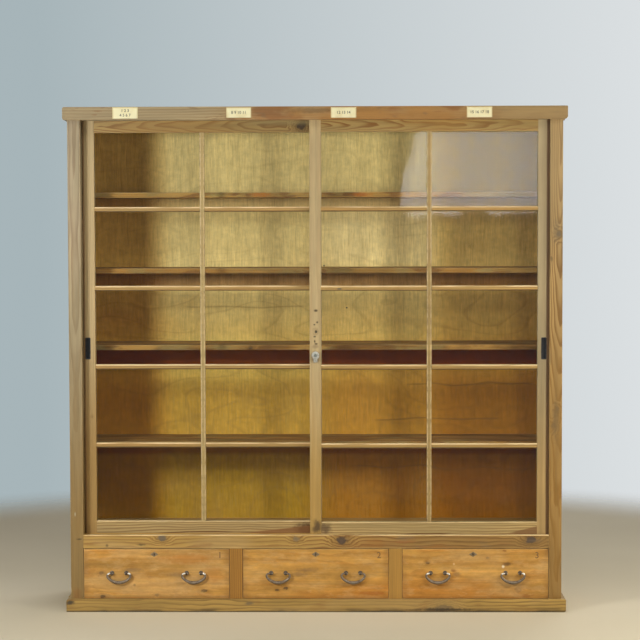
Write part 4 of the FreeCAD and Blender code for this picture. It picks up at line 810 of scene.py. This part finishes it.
def reworked(node, work):
    """Copies a node solid by solid, works on each, and gives them back as one mesh."""
    whole = bmesh.new()
    before = after = count = 0
    for triangles in solids_of(node):
        bm = joined_solid(node, triangles)
        before += bm.calc_volume()
        work(bm)
        after += bm.calc_volume()
        count += sum(not edge.is_manifold for edge in bm.edges)
        step = bpy.data.meshes.new("step")
        bm.to_mesh(step)
        bm.free()
        whole.from_mesh(step)
        bpy.data.meshes.remove(step)
    print(f"{node}: {100 * (1 - after / before):.2f}% planed off, {count} open edges, {len(whole.faces)} faces")
    return whole


def sharp_corners(bm, angle):
    return [edge for edge in bm.edges if edge.is_manifold and edge.is_convex
            and edge.calc_face_angle() > math.radians(angle)]


def outer_corners(bm, shortest):
    """Long convex edges that run along the outside of their solid."""
    low = [min(vert.co[axis] for vert in bm.verts) for axis in range(3)]
    high = [max(vert.co[axis] for vert in bm.verts) for axis in range(3)]
    chosen = []
    for edge in sharp_corners(bm, 30):
        planes = 0
        for axis in range(3):
            ends = [vert.co[axis] for vert in edge.verts]
            at_low = all(abs(end - low[axis]) < FLAT * 2 for end in ends)
            at_high = all(abs(end - high[axis]) < FLAT * 2 for end in ends)
            planes += at_low or at_high
        if planes >= 2 and edge.calc_length() >= shortest:
            chosen.append(edge)
    return chosen


def ease(bm, edges, width, worn=1.0, segments=2, under=0.5):
    """Bevels edges and marks the new faces: most where they look up, as wear and painted highlight; minus is
    painted shade.
    """
    mark = bm.faces.layers.float.get("worn") or bm.faces.layers.float.new("worn")
    made = bmesh.ops.bevel(bm, geom=edges, offset=width, offset_type="OFFSET", affect="EDGES",
                           segments=segments, profile=0.5, material=-1, clamp_overlap=True)
    for face in made["faces"]:
        face.normal_update()
        up = face.normal.z
        face[mark] = worn * (1.0 if up > 0.2 else under if up < -0.2 else 0.5)


def piece(name, bm, finish, body, replaced=(), sharp=None):
    """An object that rides on its body and may stand for CAD nodes."""
    made = made_object(name, bm, finish, sharp)
    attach(made, body)
    if replaced:
        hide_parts(*replaced)


def stand_in(node, suffix, finish, work, sharp=None):
    """A worked copy that stands for its node, with the node's body."""
    piece(node + suffix, reworked(node, work), finish, nodes[node]["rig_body"], [node], sharp)


def lay(bm, axis, way):
    """Turns a mesh by a quarter about an axis, then moves it."""
    bmesh.ops.rotate(bm, verts=bm.verts, cent=(0, 0, 0), matrix=Matrix.Rotation(math.pi / 2, 3, axis))
    bmesh.ops.translate(bm, verts=bm.verts, vec=way)


# %% Ease the boards
BOARDS = (
    (rail_wood, 0.0018, "top_rails"),
    (top_wood, 0.0008, "top_panel"),
    (left_post, 0.0014, "front_left_post"),
    (right_post, 0.0014, "front_right_post"),
    (back_post_wood, 0.0014, "back_posts"),
    (end_wood, 0.0012, "side_rails"),
    (panel_wood, 0.0008, "side_panels"),
    (sill, 0.0032, "sill_rail"),
    (divider_wood, 0.0012, "drawer_dividers"),
    (batten_wood, 0.0016, "back_battens"),
    (inner_wood, 0.0008, "display_floor"),
    (shelf_wood, 0.0012, "shelf_1", "shelf_2", "shelf_3", "shelf_4"),
    (inner_wood, 0.0012, "shelf_cleats"),
    (door_stile, 0.0012, "left_door_outer_stile", "left_door_meeting_stile"),
    (left_rail, 0.0012, "left_door_top_rail"),
    (left_low_rail, 0.003, "left_door_bottom_rail"),
    (bar_wood, 0.0042, "left_door_bars"),
    (outer_stile, 0.0012, "right_door_outer_stile"),
    (centre_stile, 0.0016, "right_door_meeting_stile"),
    (right_rail, 0.0012, "right_door_top_rail"),
    (right_low_rail, 0.003, "right_door_bottom_rail"),
    (bar_wood, 0.0042, "right_door_bars"),
    (drawer_wood, 0.0016, "drawer_1_front", "drawer_2_front", "drawer_3_front"),
    (box_wood, 0.001, "drawer_1_box", "drawer_2_box", "drawer_3_box"),
)
LONG = 0.10

for finish, width, *names in BOARDS:
    # The window bars' downward faces get a minus mark, which the finish paints as shade; other boards only pale
    # them less.
    under = -1.0 if finish is bar_wood else 0.3
    for node in names:
        stand_in(node, "_board", finish, lambda bm: ease(bm, outer_corners(bm, LONG), width, under=under))

# %% [markdown]
# The top beam and the plinth stick out past the posts, so their ends have been knocked for years. On the
# beam the left end is rubbed round and the right end has lost its lower corner. The plinth is chipped at the
# top left and rubbed at the bottom right. These are wider bevels on the short edges of the ends.

# %% Worn ends
def end_edges(bm, side, height, front):
    """Edges that run back from the front face, at one end and one height."""
    found = []
    for edge in bm.edges:
        first, second = (vert.co for vert in edge.verts)
        runs_back = abs(first.x - second.x) < FLAT and abs(first.z - second.z) < FLAT
        at_place = abs(first.x - side) < FLAT * 5 and abs(first.z - height) < FLAT * 5
        if runs_back and at_place and min(first.y, second.y) < front + FLAT * 5:
            found.append(edge)
    return found


WORN_ENDS = {
    "top_beam": (beam, 0.002, (
        (-0.9, 1.815, 0.007), (-0.9, 1.768, 0.008), (0.9, 1.815, 0.004), (0.9, 1.768, 0.011),
    )),
    "plinth": (plinth_wood, 0.0018, ((-0.9, 0.046, 0.008), (0.9, 0.0, 0.007), (0.9, 0.046, 0.003))),
}
for node, (finish, width, ends) in WORN_ENDS.items():
    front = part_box(node)[0].y

    def rub(bm):
        for side, height, wide in ends:
            ease(bm, end_edges(bm, side, height, front), wide, 0.4, 5)
        ease(bm, outer_corners(bm, LONG), width)

    stand_in(node, "_board", finish, rub)

# %% [markdown]
# Boards that hardly show keep their CAD solids and only get a finish: the plywood, the partition boards
# between the drawers and the board that they run on.

# %% Finishes on kept solids
KEPT = {
    "back_sheets": ply,
    "bottom_board": inner_wood,
    "drawer_partitions": inner_wood,
}
for node, finish in KEPT.items():
    nodes[node].data.materials[0] = finish.material

# %% [markdown]
# Window glass of this age isn't flat. A clear pane shows what is behind it and adds a thin reflection, more
# at a low angle. That is a mix of a Transparent and a Glossy surface. Its share is Schlick's curve, which is
# the same on both faces of a pane; the Fresnel node would turn the far face into a mirror for slanted light,
# as light isn't bent on its way in here. A slow wave in the normal bends reflections as old panes do.

# %% Glass
glass = Finish("old_window_glass")
wave = glass.noise(glass.vector("MULTIPLY", glass.place, (1.0, 1.0, 0.6)), 7.0, 1.0)
seeds = glass.noise(glass.place, 45.0, 1.0)
pane_normal = glass.bump(wave + seeds * 0.01, 0.004, 0.35)
clear = glass.node("BsdfTransparent", {"Color": (0.988, 0.996, 0.988)})
sheen = glass.node("BsdfGlossy", {"Color": (1, 1, 1), "Roughness": 0.03, "Normal": pane_normal})
slant = glass.node("LayerWeight", {"Blend": 0.5}, "Facing")
glass.show(glass.node("MixShader", {0: slant**5.0 * 0.8 + 0.009, 1: clear, 2: sheen}))
for side in ("left", "right"):
    nodes[side + "_door_panes"].data.materials[0] = glass.material

# %% [markdown]
# The handles are forged from round iron bar. Iron that has hung on a kitchen cabinet is brown black with a
# thin skin of rust, hammered rather than smooth, and rubbed bright where hands or the ring wear it. The bails
# of the outer drawers also carry painted highlights on their shoulders. The finish is metal whose colour and
# roughness follow noise, with bumps a few millimetres wide.

# %% Iron and nickel
def metal(name, base, rust, bright, shine=0.45, glint_places=(), dents=170.0, relief=0.0002, metallic=0.5, shaded_holes=()):
    finish = Finish(name)
    grime = finish.noise(finish.place, 130.0, 4.0, 0.6)
    hammer = finish.noise(finish.place, dents, 2.0)
    rusty = finish.step(grime, 0.48, 0.66)
    colour = finish.mix(rusty, base, rust)
    rubbed_and_glints = finish.worn() * finish.step(grime, 0.62, 0.4)
    # Each place given here is a painted highlight, added to the rubbed mark.
    for centre, radius in glint_places:
        away = finish.near(centre, (radius,) * 3) + (grime - 0.5)
        rubbed_and_glints = rubbed_and_glints + finish.step(away, 1.0, 0.4)
    rubbed_and_glints = finish.math("MINIMUM", rubbed_and_glints, 1.0)
    colour = finish.mix(rubbed_and_glints, colour, bright)
    # Painted shade: the keyholes are made near black.
    for centre, radii in shaded_holes:
        colour = finish.mix(finish.step(finish.near(centre, radii), 1.15, 0.8), colour, (0.008, 0.006, 0.005))
    roughness = shine + rusty * 0.3 - rubbed_and_glints * 0.18
    normal = finish.bump(hammer + grime * 0.3, relief)
    finish.surface({"Base Color": colour, "Metallic": metallic, "Roughness": roughness, "Normal": normal})
    return finish


KEY_PLACES = (-0.583167, 0.0, 0.567167)
KEY_LEVEL = 0.207
PIVOT = Vector((0.0, -0.212, 0.139))
POST_REACH = 0.026
handle_places = {
    (drawer, hand): middle + offset
    for drawer, middle in ((1, -0.575167), (2, 0.0), (3, 0.575167))
    for hand, offset in (("left", -0.135), ("right", 0.135))
}
# Painted highlights: bright spots on the shoulders of the outer drawers' bails.
painted_glints = []
for (drawer, hand), middle in handle_places.items():
    if drawer != 2:
        for reach in (-0.036, 0.038):
            painted_glints.append(((middle + reach, PIVOT.y - 0.002, PIVOT.z + 0.001), 0.0075))
dark_iron = metal("forged_iron_bar", (0.22, 0.175, 0.13), (0.165, 0.115, 0.075), (0.92, 0.9, 0.82), 0.42,
                  painted_glints, dents=110.0, relief=0.0001, metallic=0.55)
ring_iron = metal("forged_iron_rings", (0.12, 0.095, 0.07), (0.09, 0.05, 0.028), (0.4, 0.36, 0.3))
black_iron = metal("pull_black_iron", (0.022, 0.023, 0.026), (0.04, 0.034, 0.03), (0.35, 0.35, 0.36), 0.4,
                   metallic=0.6)
plate_iron = metal("key_plate_iron", (0.27, 0.2, 0.12), (0.2, 0.13, 0.07), (0.6, 0.5, 0.36), metallic=0.4,
                   shaded_holes=[((x, DRAWER_FACE, KEY_LEVEL), (0.0019, 0.03, 0.0062)) for x in KEY_PLACES])
plug_nickel = metal("plug_nickel", (0.25, 0.27, 0.25), (0.16, 0.15, 0.12), (0.6, 0.6, 0.56), 0.35,
                    relief=0.0001, metallic=0.45)
nickel = metal("lock_nickel", (0.5, 0.49, 0.44), (0.3, 0.26, 0.2), (0.95, 0.94, 0.9), 0.3,
               relief=0.0001, metallic=0.45)
print("metal finishes", sorted(m.name for m in bpy.data.materials if "iron" in m.name or "nickel" in m.name))

# %% [markdown]
# A smith draws the bar out thin at both ends, bends the ends in to hook the rings, then bows the grip. The
# same steps work in bmesh: a round starting face is pushed along, and after each push the new end is turned
# about the bend's centre and scaled about its own middle, so the bar swells towards the grip.

# %% Bails
THIN, THICK = 0.0030, 0.0062
TIP, SHOULDER, SIDE = 0.020, 0.008, 0.013
HALF, FALL = 0.0418, 0.0335
SWELL = 0.8
BAR_CORNERS = 20


def bail_bends():
    """Centre in XZ, start and end angle of each bend, from the right shoulder to the lowest point."""
    below = FALL - SHOULDER
    side_x = HALF - SIDE
    grip = (side_x**2 + below**2 - SIDE**2) / (2 * (below - SIDE))
    grip_z = grip - below - SHOULDER
    meet = math.atan2(-SHOULDER - grip_z, side_x)
    return [
        ((HALF - SHOULDER, -SHOULDER), math.pi / 2, 0.0, SHOULDER, 7),
        ((side_x, -SHOULDER), 0.0, meet, SIDE, 7),
        ((0.0, grip_z), meet, -math.pi / 2, grip, 9),
    ]


def push(bm, face):
    """Extrudes the bar's end face and gives back the new end face. The old one would be left inside."""
    inside = [face] if any(edge.is_manifold for edge in face.edges) else []
    made = bmesh.ops.extrude_face_region(bm, geom=[face])["geom"]
    bmesh.ops.delete(bm, geom=inside, context="FACES_ONLY")
    return next(part for part in made if isinstance(part, bmesh.types.BMFace))


def forge_bail():
    bm = bmesh.new()
    bmesh.ops.create_circle(bm, cap_ends=True, segments=BAR_CORNERS, radius=THIN)
    lay(bm, "Y", (TIP, 0, 0))
    bm.faces.ensure_lookup_table()
    end = push(bm, bm.faces[0])
    straight = HALF - SHOULDER - TIP
    bmesh.ops.translate(bm, verts=end.verts, vec=(straight, 0, 0))
    bends = bail_bends()
    whole = sum(radius * abs(stop - start) for centre, start, stop, radius, steps in bends)
    way, size = 0.0, THIN
    for (x, z), start, stop, radius, steps in bends:
        for step in range(steps):
            end = push(bm, end)
            angle = (stop - start) / steps
            turned = Matrix.Rotation(-angle, 3, "Y")
            bmesh.ops.rotate(bm, verts=end.verts, cent=(x, 0, z), matrix=turned)
            way += radius * abs(angle)
            wanted = THIN + (THICK - THIN) * (way / whole) ** SWELL
            at = Matrix.Translation(-end.calc_center_median())
            bmesh.ops.scale(bm, verts=end.verts, vec=(wanted / size,) * 3, space=at)
            size = wanted
    for vert in end.verts:
        vert.co.x = 0.0
    bmesh.ops.delete(bm, geom=[end], context="FACES_ONLY")
    half = bm.verts[:] + bm.edges[:] + bm.faces[:]
    bmesh.ops.mirror(bm, geom=half, matrix=Matrix.Identity(4), merge_dist=1e-5, axis="X")
    tips = [edge for edge in bm.edges if any(len(face.verts) == BAR_CORNERS for face in edge.link_faces)]
    ease(bm, tips, 0.0009, 1.0, 3)
    bmesh.ops.recalc_face_normals(bm, faces=bm.faces)
    return bm


for (drawer, hand), middle in handle_places.items():
    bm = forge_bail()
    bmesh.ops.translate(bm, verts=bm.verts, vec=PIVOT + Vector((middle, 0, 0)))
    node = f"drawer_{drawer}_{hand}_bail"
    low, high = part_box(node)
    wide = max(vert.co.x for vert in bm.verts) - min(vert.co.x for vert in bm.verts)
    closed = all(edge.is_manifold for edge in bm.edges)
    print(f"{node}: {wide * 1000:.1f} mm wide, CAD {(high.x - low.x) * 1000:.1f} mm, closed {closed}")
    piece(node + "_forged", bm, dark_iron, node, [node], sharp=50)

# %% [markdown]
# Each bail hangs in two split posts: a flat strip is bent round into a ring, its two legs go through a
# domed washer and the board, and are spread inside. The ring is a section spun round the bail's line, and
# the washer a profile spun round the shank.

# %% Handle posts
RING_OUT, RING_IN, RING_WIDE = 0.0065, 0.0033, 0.006
WASHER, WASHER_HIGH, DRAWER_BACK = 0.008, 0.0014, -0.180
SHANK, LEG_LONG, LEG_THICK, LEG_GAP = 0.005, 0.022, 0.0016, 0.0005
RING_CORNERS, ROUND_STEPS = 10, 28


def spin_profile(bm, points, axis, centre):
    """Spins a closed outline full circle round an axis."""
    verts = [bm.verts.new(point) for point in points]
    edges = [bm.edges.new((verts[place - 1], verts[place])) for place in range(len(verts))]
    bmesh.ops.spin(bm, geom=verts + edges, cent=centre, axis=axis, angle=2 * math.pi, steps=ROUND_STEPS,
                   use_merge=True)


def ring_head(bm, x):
    mid, thick = (RING_OUT + RING_IN) / 2, (RING_OUT - RING_IN) / 2
    points = []
    for corner in range(RING_CORNERS):
        angle = 2 * math.pi * corner / RING_CORNERS
        points.append((x + math.cos(angle) * RING_WIDE / 2, PIVOT.y, PIVOT.z + mid + math.sin(angle) * thick))
    spin_profile(bm, points, (1, 0, 0), (x, PIVOT.y, PIVOT.z))


def washer(bm, x):
    rise = ((0.0026, 0), (WASHER, 0), (WASHER * 0.97, 0.35), (WASHER * 0.8, 0.75), (0.0045, 1), (0.0026, 1))
    points = [(x + radius, DRAWER_FACE - share * WASHER_HIGH, PIVOT.z) for radius, share in rise]
    spin_profile(bm, points, (0, 1, 0), (x, 0, PIVOT.z))


def bar_between(bm, low, high):
    """A squared bar with eased corners."""
    middle = (Vector(low) + Vector(high)) / 2
    lengths = [top - bottom for bottom, top in zip(low, high)]
    place = Matrix.Translation(middle) @ Matrix.Diagonal((*lengths, 1.0))
    made = bmesh.ops.create_cube(bm, size=1.0, matrix=place)["verts"]
    edges = list({edge for vert in made for edge in vert.link_edges})
    bmesh.ops.bevel(bm, geom=edges, offset=min(lengths) * 0.16, offset_type="OFFSET", affect="EDGES",
                    segments=2, profile=0.5, material=-1)


for drawer in (1, 2, 3):
    bm = bmesh.new()
    for hand in ("left", "right"):
        for reach in (-POST_REACH, POST_REACH):
            x = handle_places[drawer, hand] + reach
            half = SHANK / 2
            ring_head(bm, x)
            washer(bm, x)
            shank_front = PIVOT.y + RING_IN + 0.0006
            bar_between(bm, (x - half, shank_front, PIVOT.z - half), (x + half, DRAWER_BACK, PIVOT.z + half))
            for way in (-1, 1):
                ends = sorted((PIVOT.z + way * LEG_GAP, PIVOT.z + way * LEG_LONG / 2))
                bar_between(bm, (x - half, DRAWER_BACK, ends[0]), (x + half, DRAWER_BACK + LEG_THICK, ends[1]))
    bmesh.ops.recalc_face_normals(bm, faces=bm.faces)
    name = f"drawer_{drawer}_handle_posts"
    piece(name + "_forged", bm, ring_iron, f"drawer_{drawer}", [name], sharp=40)

# %% [markdown]
# The drawer locks show a small diamond plate with a keyhole, held by two pins. The door lock is a nickel
# round on a pear shaped plate, and the finger pulls are black iron cups let into the stiles. Their solids
# are right, so copies of them only get fine bevels and a metal finish.

# %% Locks and finger pulls
METAL_PIECES = {
    "right_door_lock": (nickel, 0.00035),
    "right_door_lock_plug": (plug_nickel, 0.0002),
    "left_door_finger_pull": (black_iron, 0.00025),
    "right_door_finger_pull": (black_iron, 0.00025),
}
for drawer in (1, 2, 3):
    METAL_PIECES[f"drawer_{drawer}_lock"] = (plate_iron, 0.0002)
    METAL_PIECES[f"drawer_{drawer}_lock_bolt"] = (dark_iron, 0.0004)
for node, (finish, width) in METAL_PIECES.items():
    stand_in(node, "_worked", finish, lambda bm: ease(bm, sharp_corners(bm, 40), width), sharp=35)

# %% [markdown]
# Two pins hold each key plate, and two nails show on the plywood, where their heads were hammered flat. A
# round head is a sphere, made flatter from front to back where it has to be.

# %% Pins and nail heads
PIN, PIN_REACH, PIN_DEPTH = 0.0011, 0.0115, -0.2012
NAIL, NAIL_DEPTH, NAILS = 0.003, 0.1945, ((0.028, 1.2395), (0.114, 1.080))


def studs(places, radius, around, flat=1.0):
    bm = bmesh.new()
    for place in places:
        matrix = Matrix.Translation(place) @ Matrix.Diagonal((1.0, flat, 1.0, 1.0))
        bmesh.ops.create_uvsphere(bm, u_segments=around, v_segments=8, radius=radius, matrix=matrix)
    return bm


for drawer, middle in enumerate(KEY_PLACES, start=1):
    bm = studs([(middle + way * PIN_REACH, PIN_DEPTH, KEY_LEVEL) for way in (-1, 1)], PIN, 14)
    piece(f"drawer_{drawer}_key_plate_pins", bm, dark_iron, f"drawer_{drawer}", sharp=60)
bm = studs([(x, NAIL_DEPTH, z) for x, z in NAILS], NAIL, 16, 0.3)
piece("back_sheet_nails", bm, black_iron, "cabinet", sharp=60)

# %% [markdown]
# Four paper labels are pasted on the top beam, where each told what was kept below. The writing isn't
# copied: they hold plain numbers. A label is a thin sheet of cream paper, yellow at its edges, whose corners
# have begun to lift.

# %% Paper labels
paper = Finish("label_paper")
paper_fibre = paper.noise(paper.place, 900.0, 3.0)
paper_age = paper.step(paper.noise(paper.place, 38.0, 3.0), 0.4, 0.75)
paper_colour = paper.mix(paper_age * 0.6, (0.80, 0.75, 0.49), (0.68, 0.58, 0.31))
paper_colour = paper.mix(paper.worn() * 0.5, paper_colour, (0.6, 0.47, 0.22))
paper.surface({"Base Color": paper_colour, "Roughness": 0.85, "Normal": paper.bump(paper_fibre, 0.0002)})
ink = Finish("label_ink")
ink_colour = ink.mix(ink.noise(ink.place, 300.0), (0.05, 0.05, 0.05), (0.22, 0.2, 0.16))
ink.surface({"Base Color": ink_colour, "Roughness": 0.7})

PAPER_THICK, PEN_STROKE = 0.00025, 0.0002
INK_HIGH, ROW_STEP = 0.014, 0.0165


def paste_label(name, left, right, low, high):
    bm = bmesh.new()
    bmesh.ops.create_grid(bm, x_segments=24, y_segments=10, size=0.5)
    mark = bm.faces.layers.float.new("worn")
    for face in bm.faces:
        centre = face.calc_center_median()
        face[mark] = 1.0 if max(abs(centre.x), abs(centre.y)) > 0.45 else 0.0
    for vert in bm.verts:
        corner = max(0.0, abs(vert.co.x) - 0.42) / 0.08 * max(0.0, abs(vert.co.y) - 0.3) / 0.2
        vert.co.z = 0.0009 * corner**2 + 0.00008 * math.sin(vert.co.x * 31.0)
    bmesh.ops.scale(bm, vec=(right - left, high - low, 1.0), verts=bm.verts)
    bmesh.ops.solidify(bm, geom=bm.faces[:], thickness=PAPER_THICK)
    lay(bm, "X", ((left + right) / 2, BEAM_FACE - PAPER_THICK * 1.2, (low + high) / 2))
    bmesh.ops.recalc_face_normals(bm, faces=bm.faces)
    piece(name, bm, paper, "cabinet")


def write(name, text, middle, low, height, face, finish, body):
    """Flat figures, as a thin solid that lies on a face that looks to the front."""
    words = bpy.data.curves.new(name, "FONT")
    words.body = text
    words.size = height
    words.align_x = "CENTER"
    words.extrude = 0.00006
    words.offset = PEN_STROKE
    drawn = put(name + "_drawing", words)
    bpy.context.view_layer.update()
    flat = bpy.data.meshes.new_from_object(drawn)
    bpy.data.objects.remove(drawn)
    bm = bmesh.new()
    bm.from_mesh(flat)
    bmesh.ops.remove_doubles(bm, verts=bm.verts, dist=1e-6)
    lay(bm, "X", (middle, face, low))
    piece(name, bm, finish, body)


LABELS = [
    (-0.720, -0.630, 1.7735, 1.8135, ["1 2 3", "4 5 6 7"]),
    (-0.314, -0.226, 1.7755, 1.8115, ["8 9 10 11"]),
    (0.058, 0.148, 1.7745, 1.8115, ["12 13 14"]),
    (0.541, 0.631, 1.7745, 1.8120, ["15 16 17 18"]),
]
ink_face = BEAM_FACE - PAPER_THICK * 2.3
for number, (left, right, low, high, rows) in enumerate(LABELS, start=1):
    paste_label(f"label_{number}", left, right, low, high)
    for row, text in enumerate(rows):
        base = (low + high) / 2 - 0.0045 + (0.008 - row * ROW_STEP if len(rows) > 1 else 0.0)
        write(f"label_{number}_figures_{row + 1}", text, (left + right) / 2, base, INK_HIGH, ink_face, ink,
              "cabinet")
print("labels", len(LABELS))

# %% Faint numbers on the drawers
pencil = Finish("pencil_mark")
pencil_colour = pencil.mix(pencil.noise(pencil.place, 250.0, 3.0), (0.09, 0.055, 0.03), (0.3, 0.165, 0.06))
pencil.surface({"Base Color": pencil_colour, "Roughness": 0.8})
PENCIL_LOW, PENCIL_HIGH = 0.193, 0.032
for drawer, middle in enumerate((-0.346, 0.228, 0.797), start=1):
    write(f"drawer_{drawer}_number", str(drawer), middle, PENCIL_LOW, PENCIL_HIGH, DRAWER_FACE - 0.00003,
          pencil, f"drawer_{drawer}")

# %% Sizes and the end
low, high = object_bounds()
print("visual", [round(side, 4) for side in high - low])
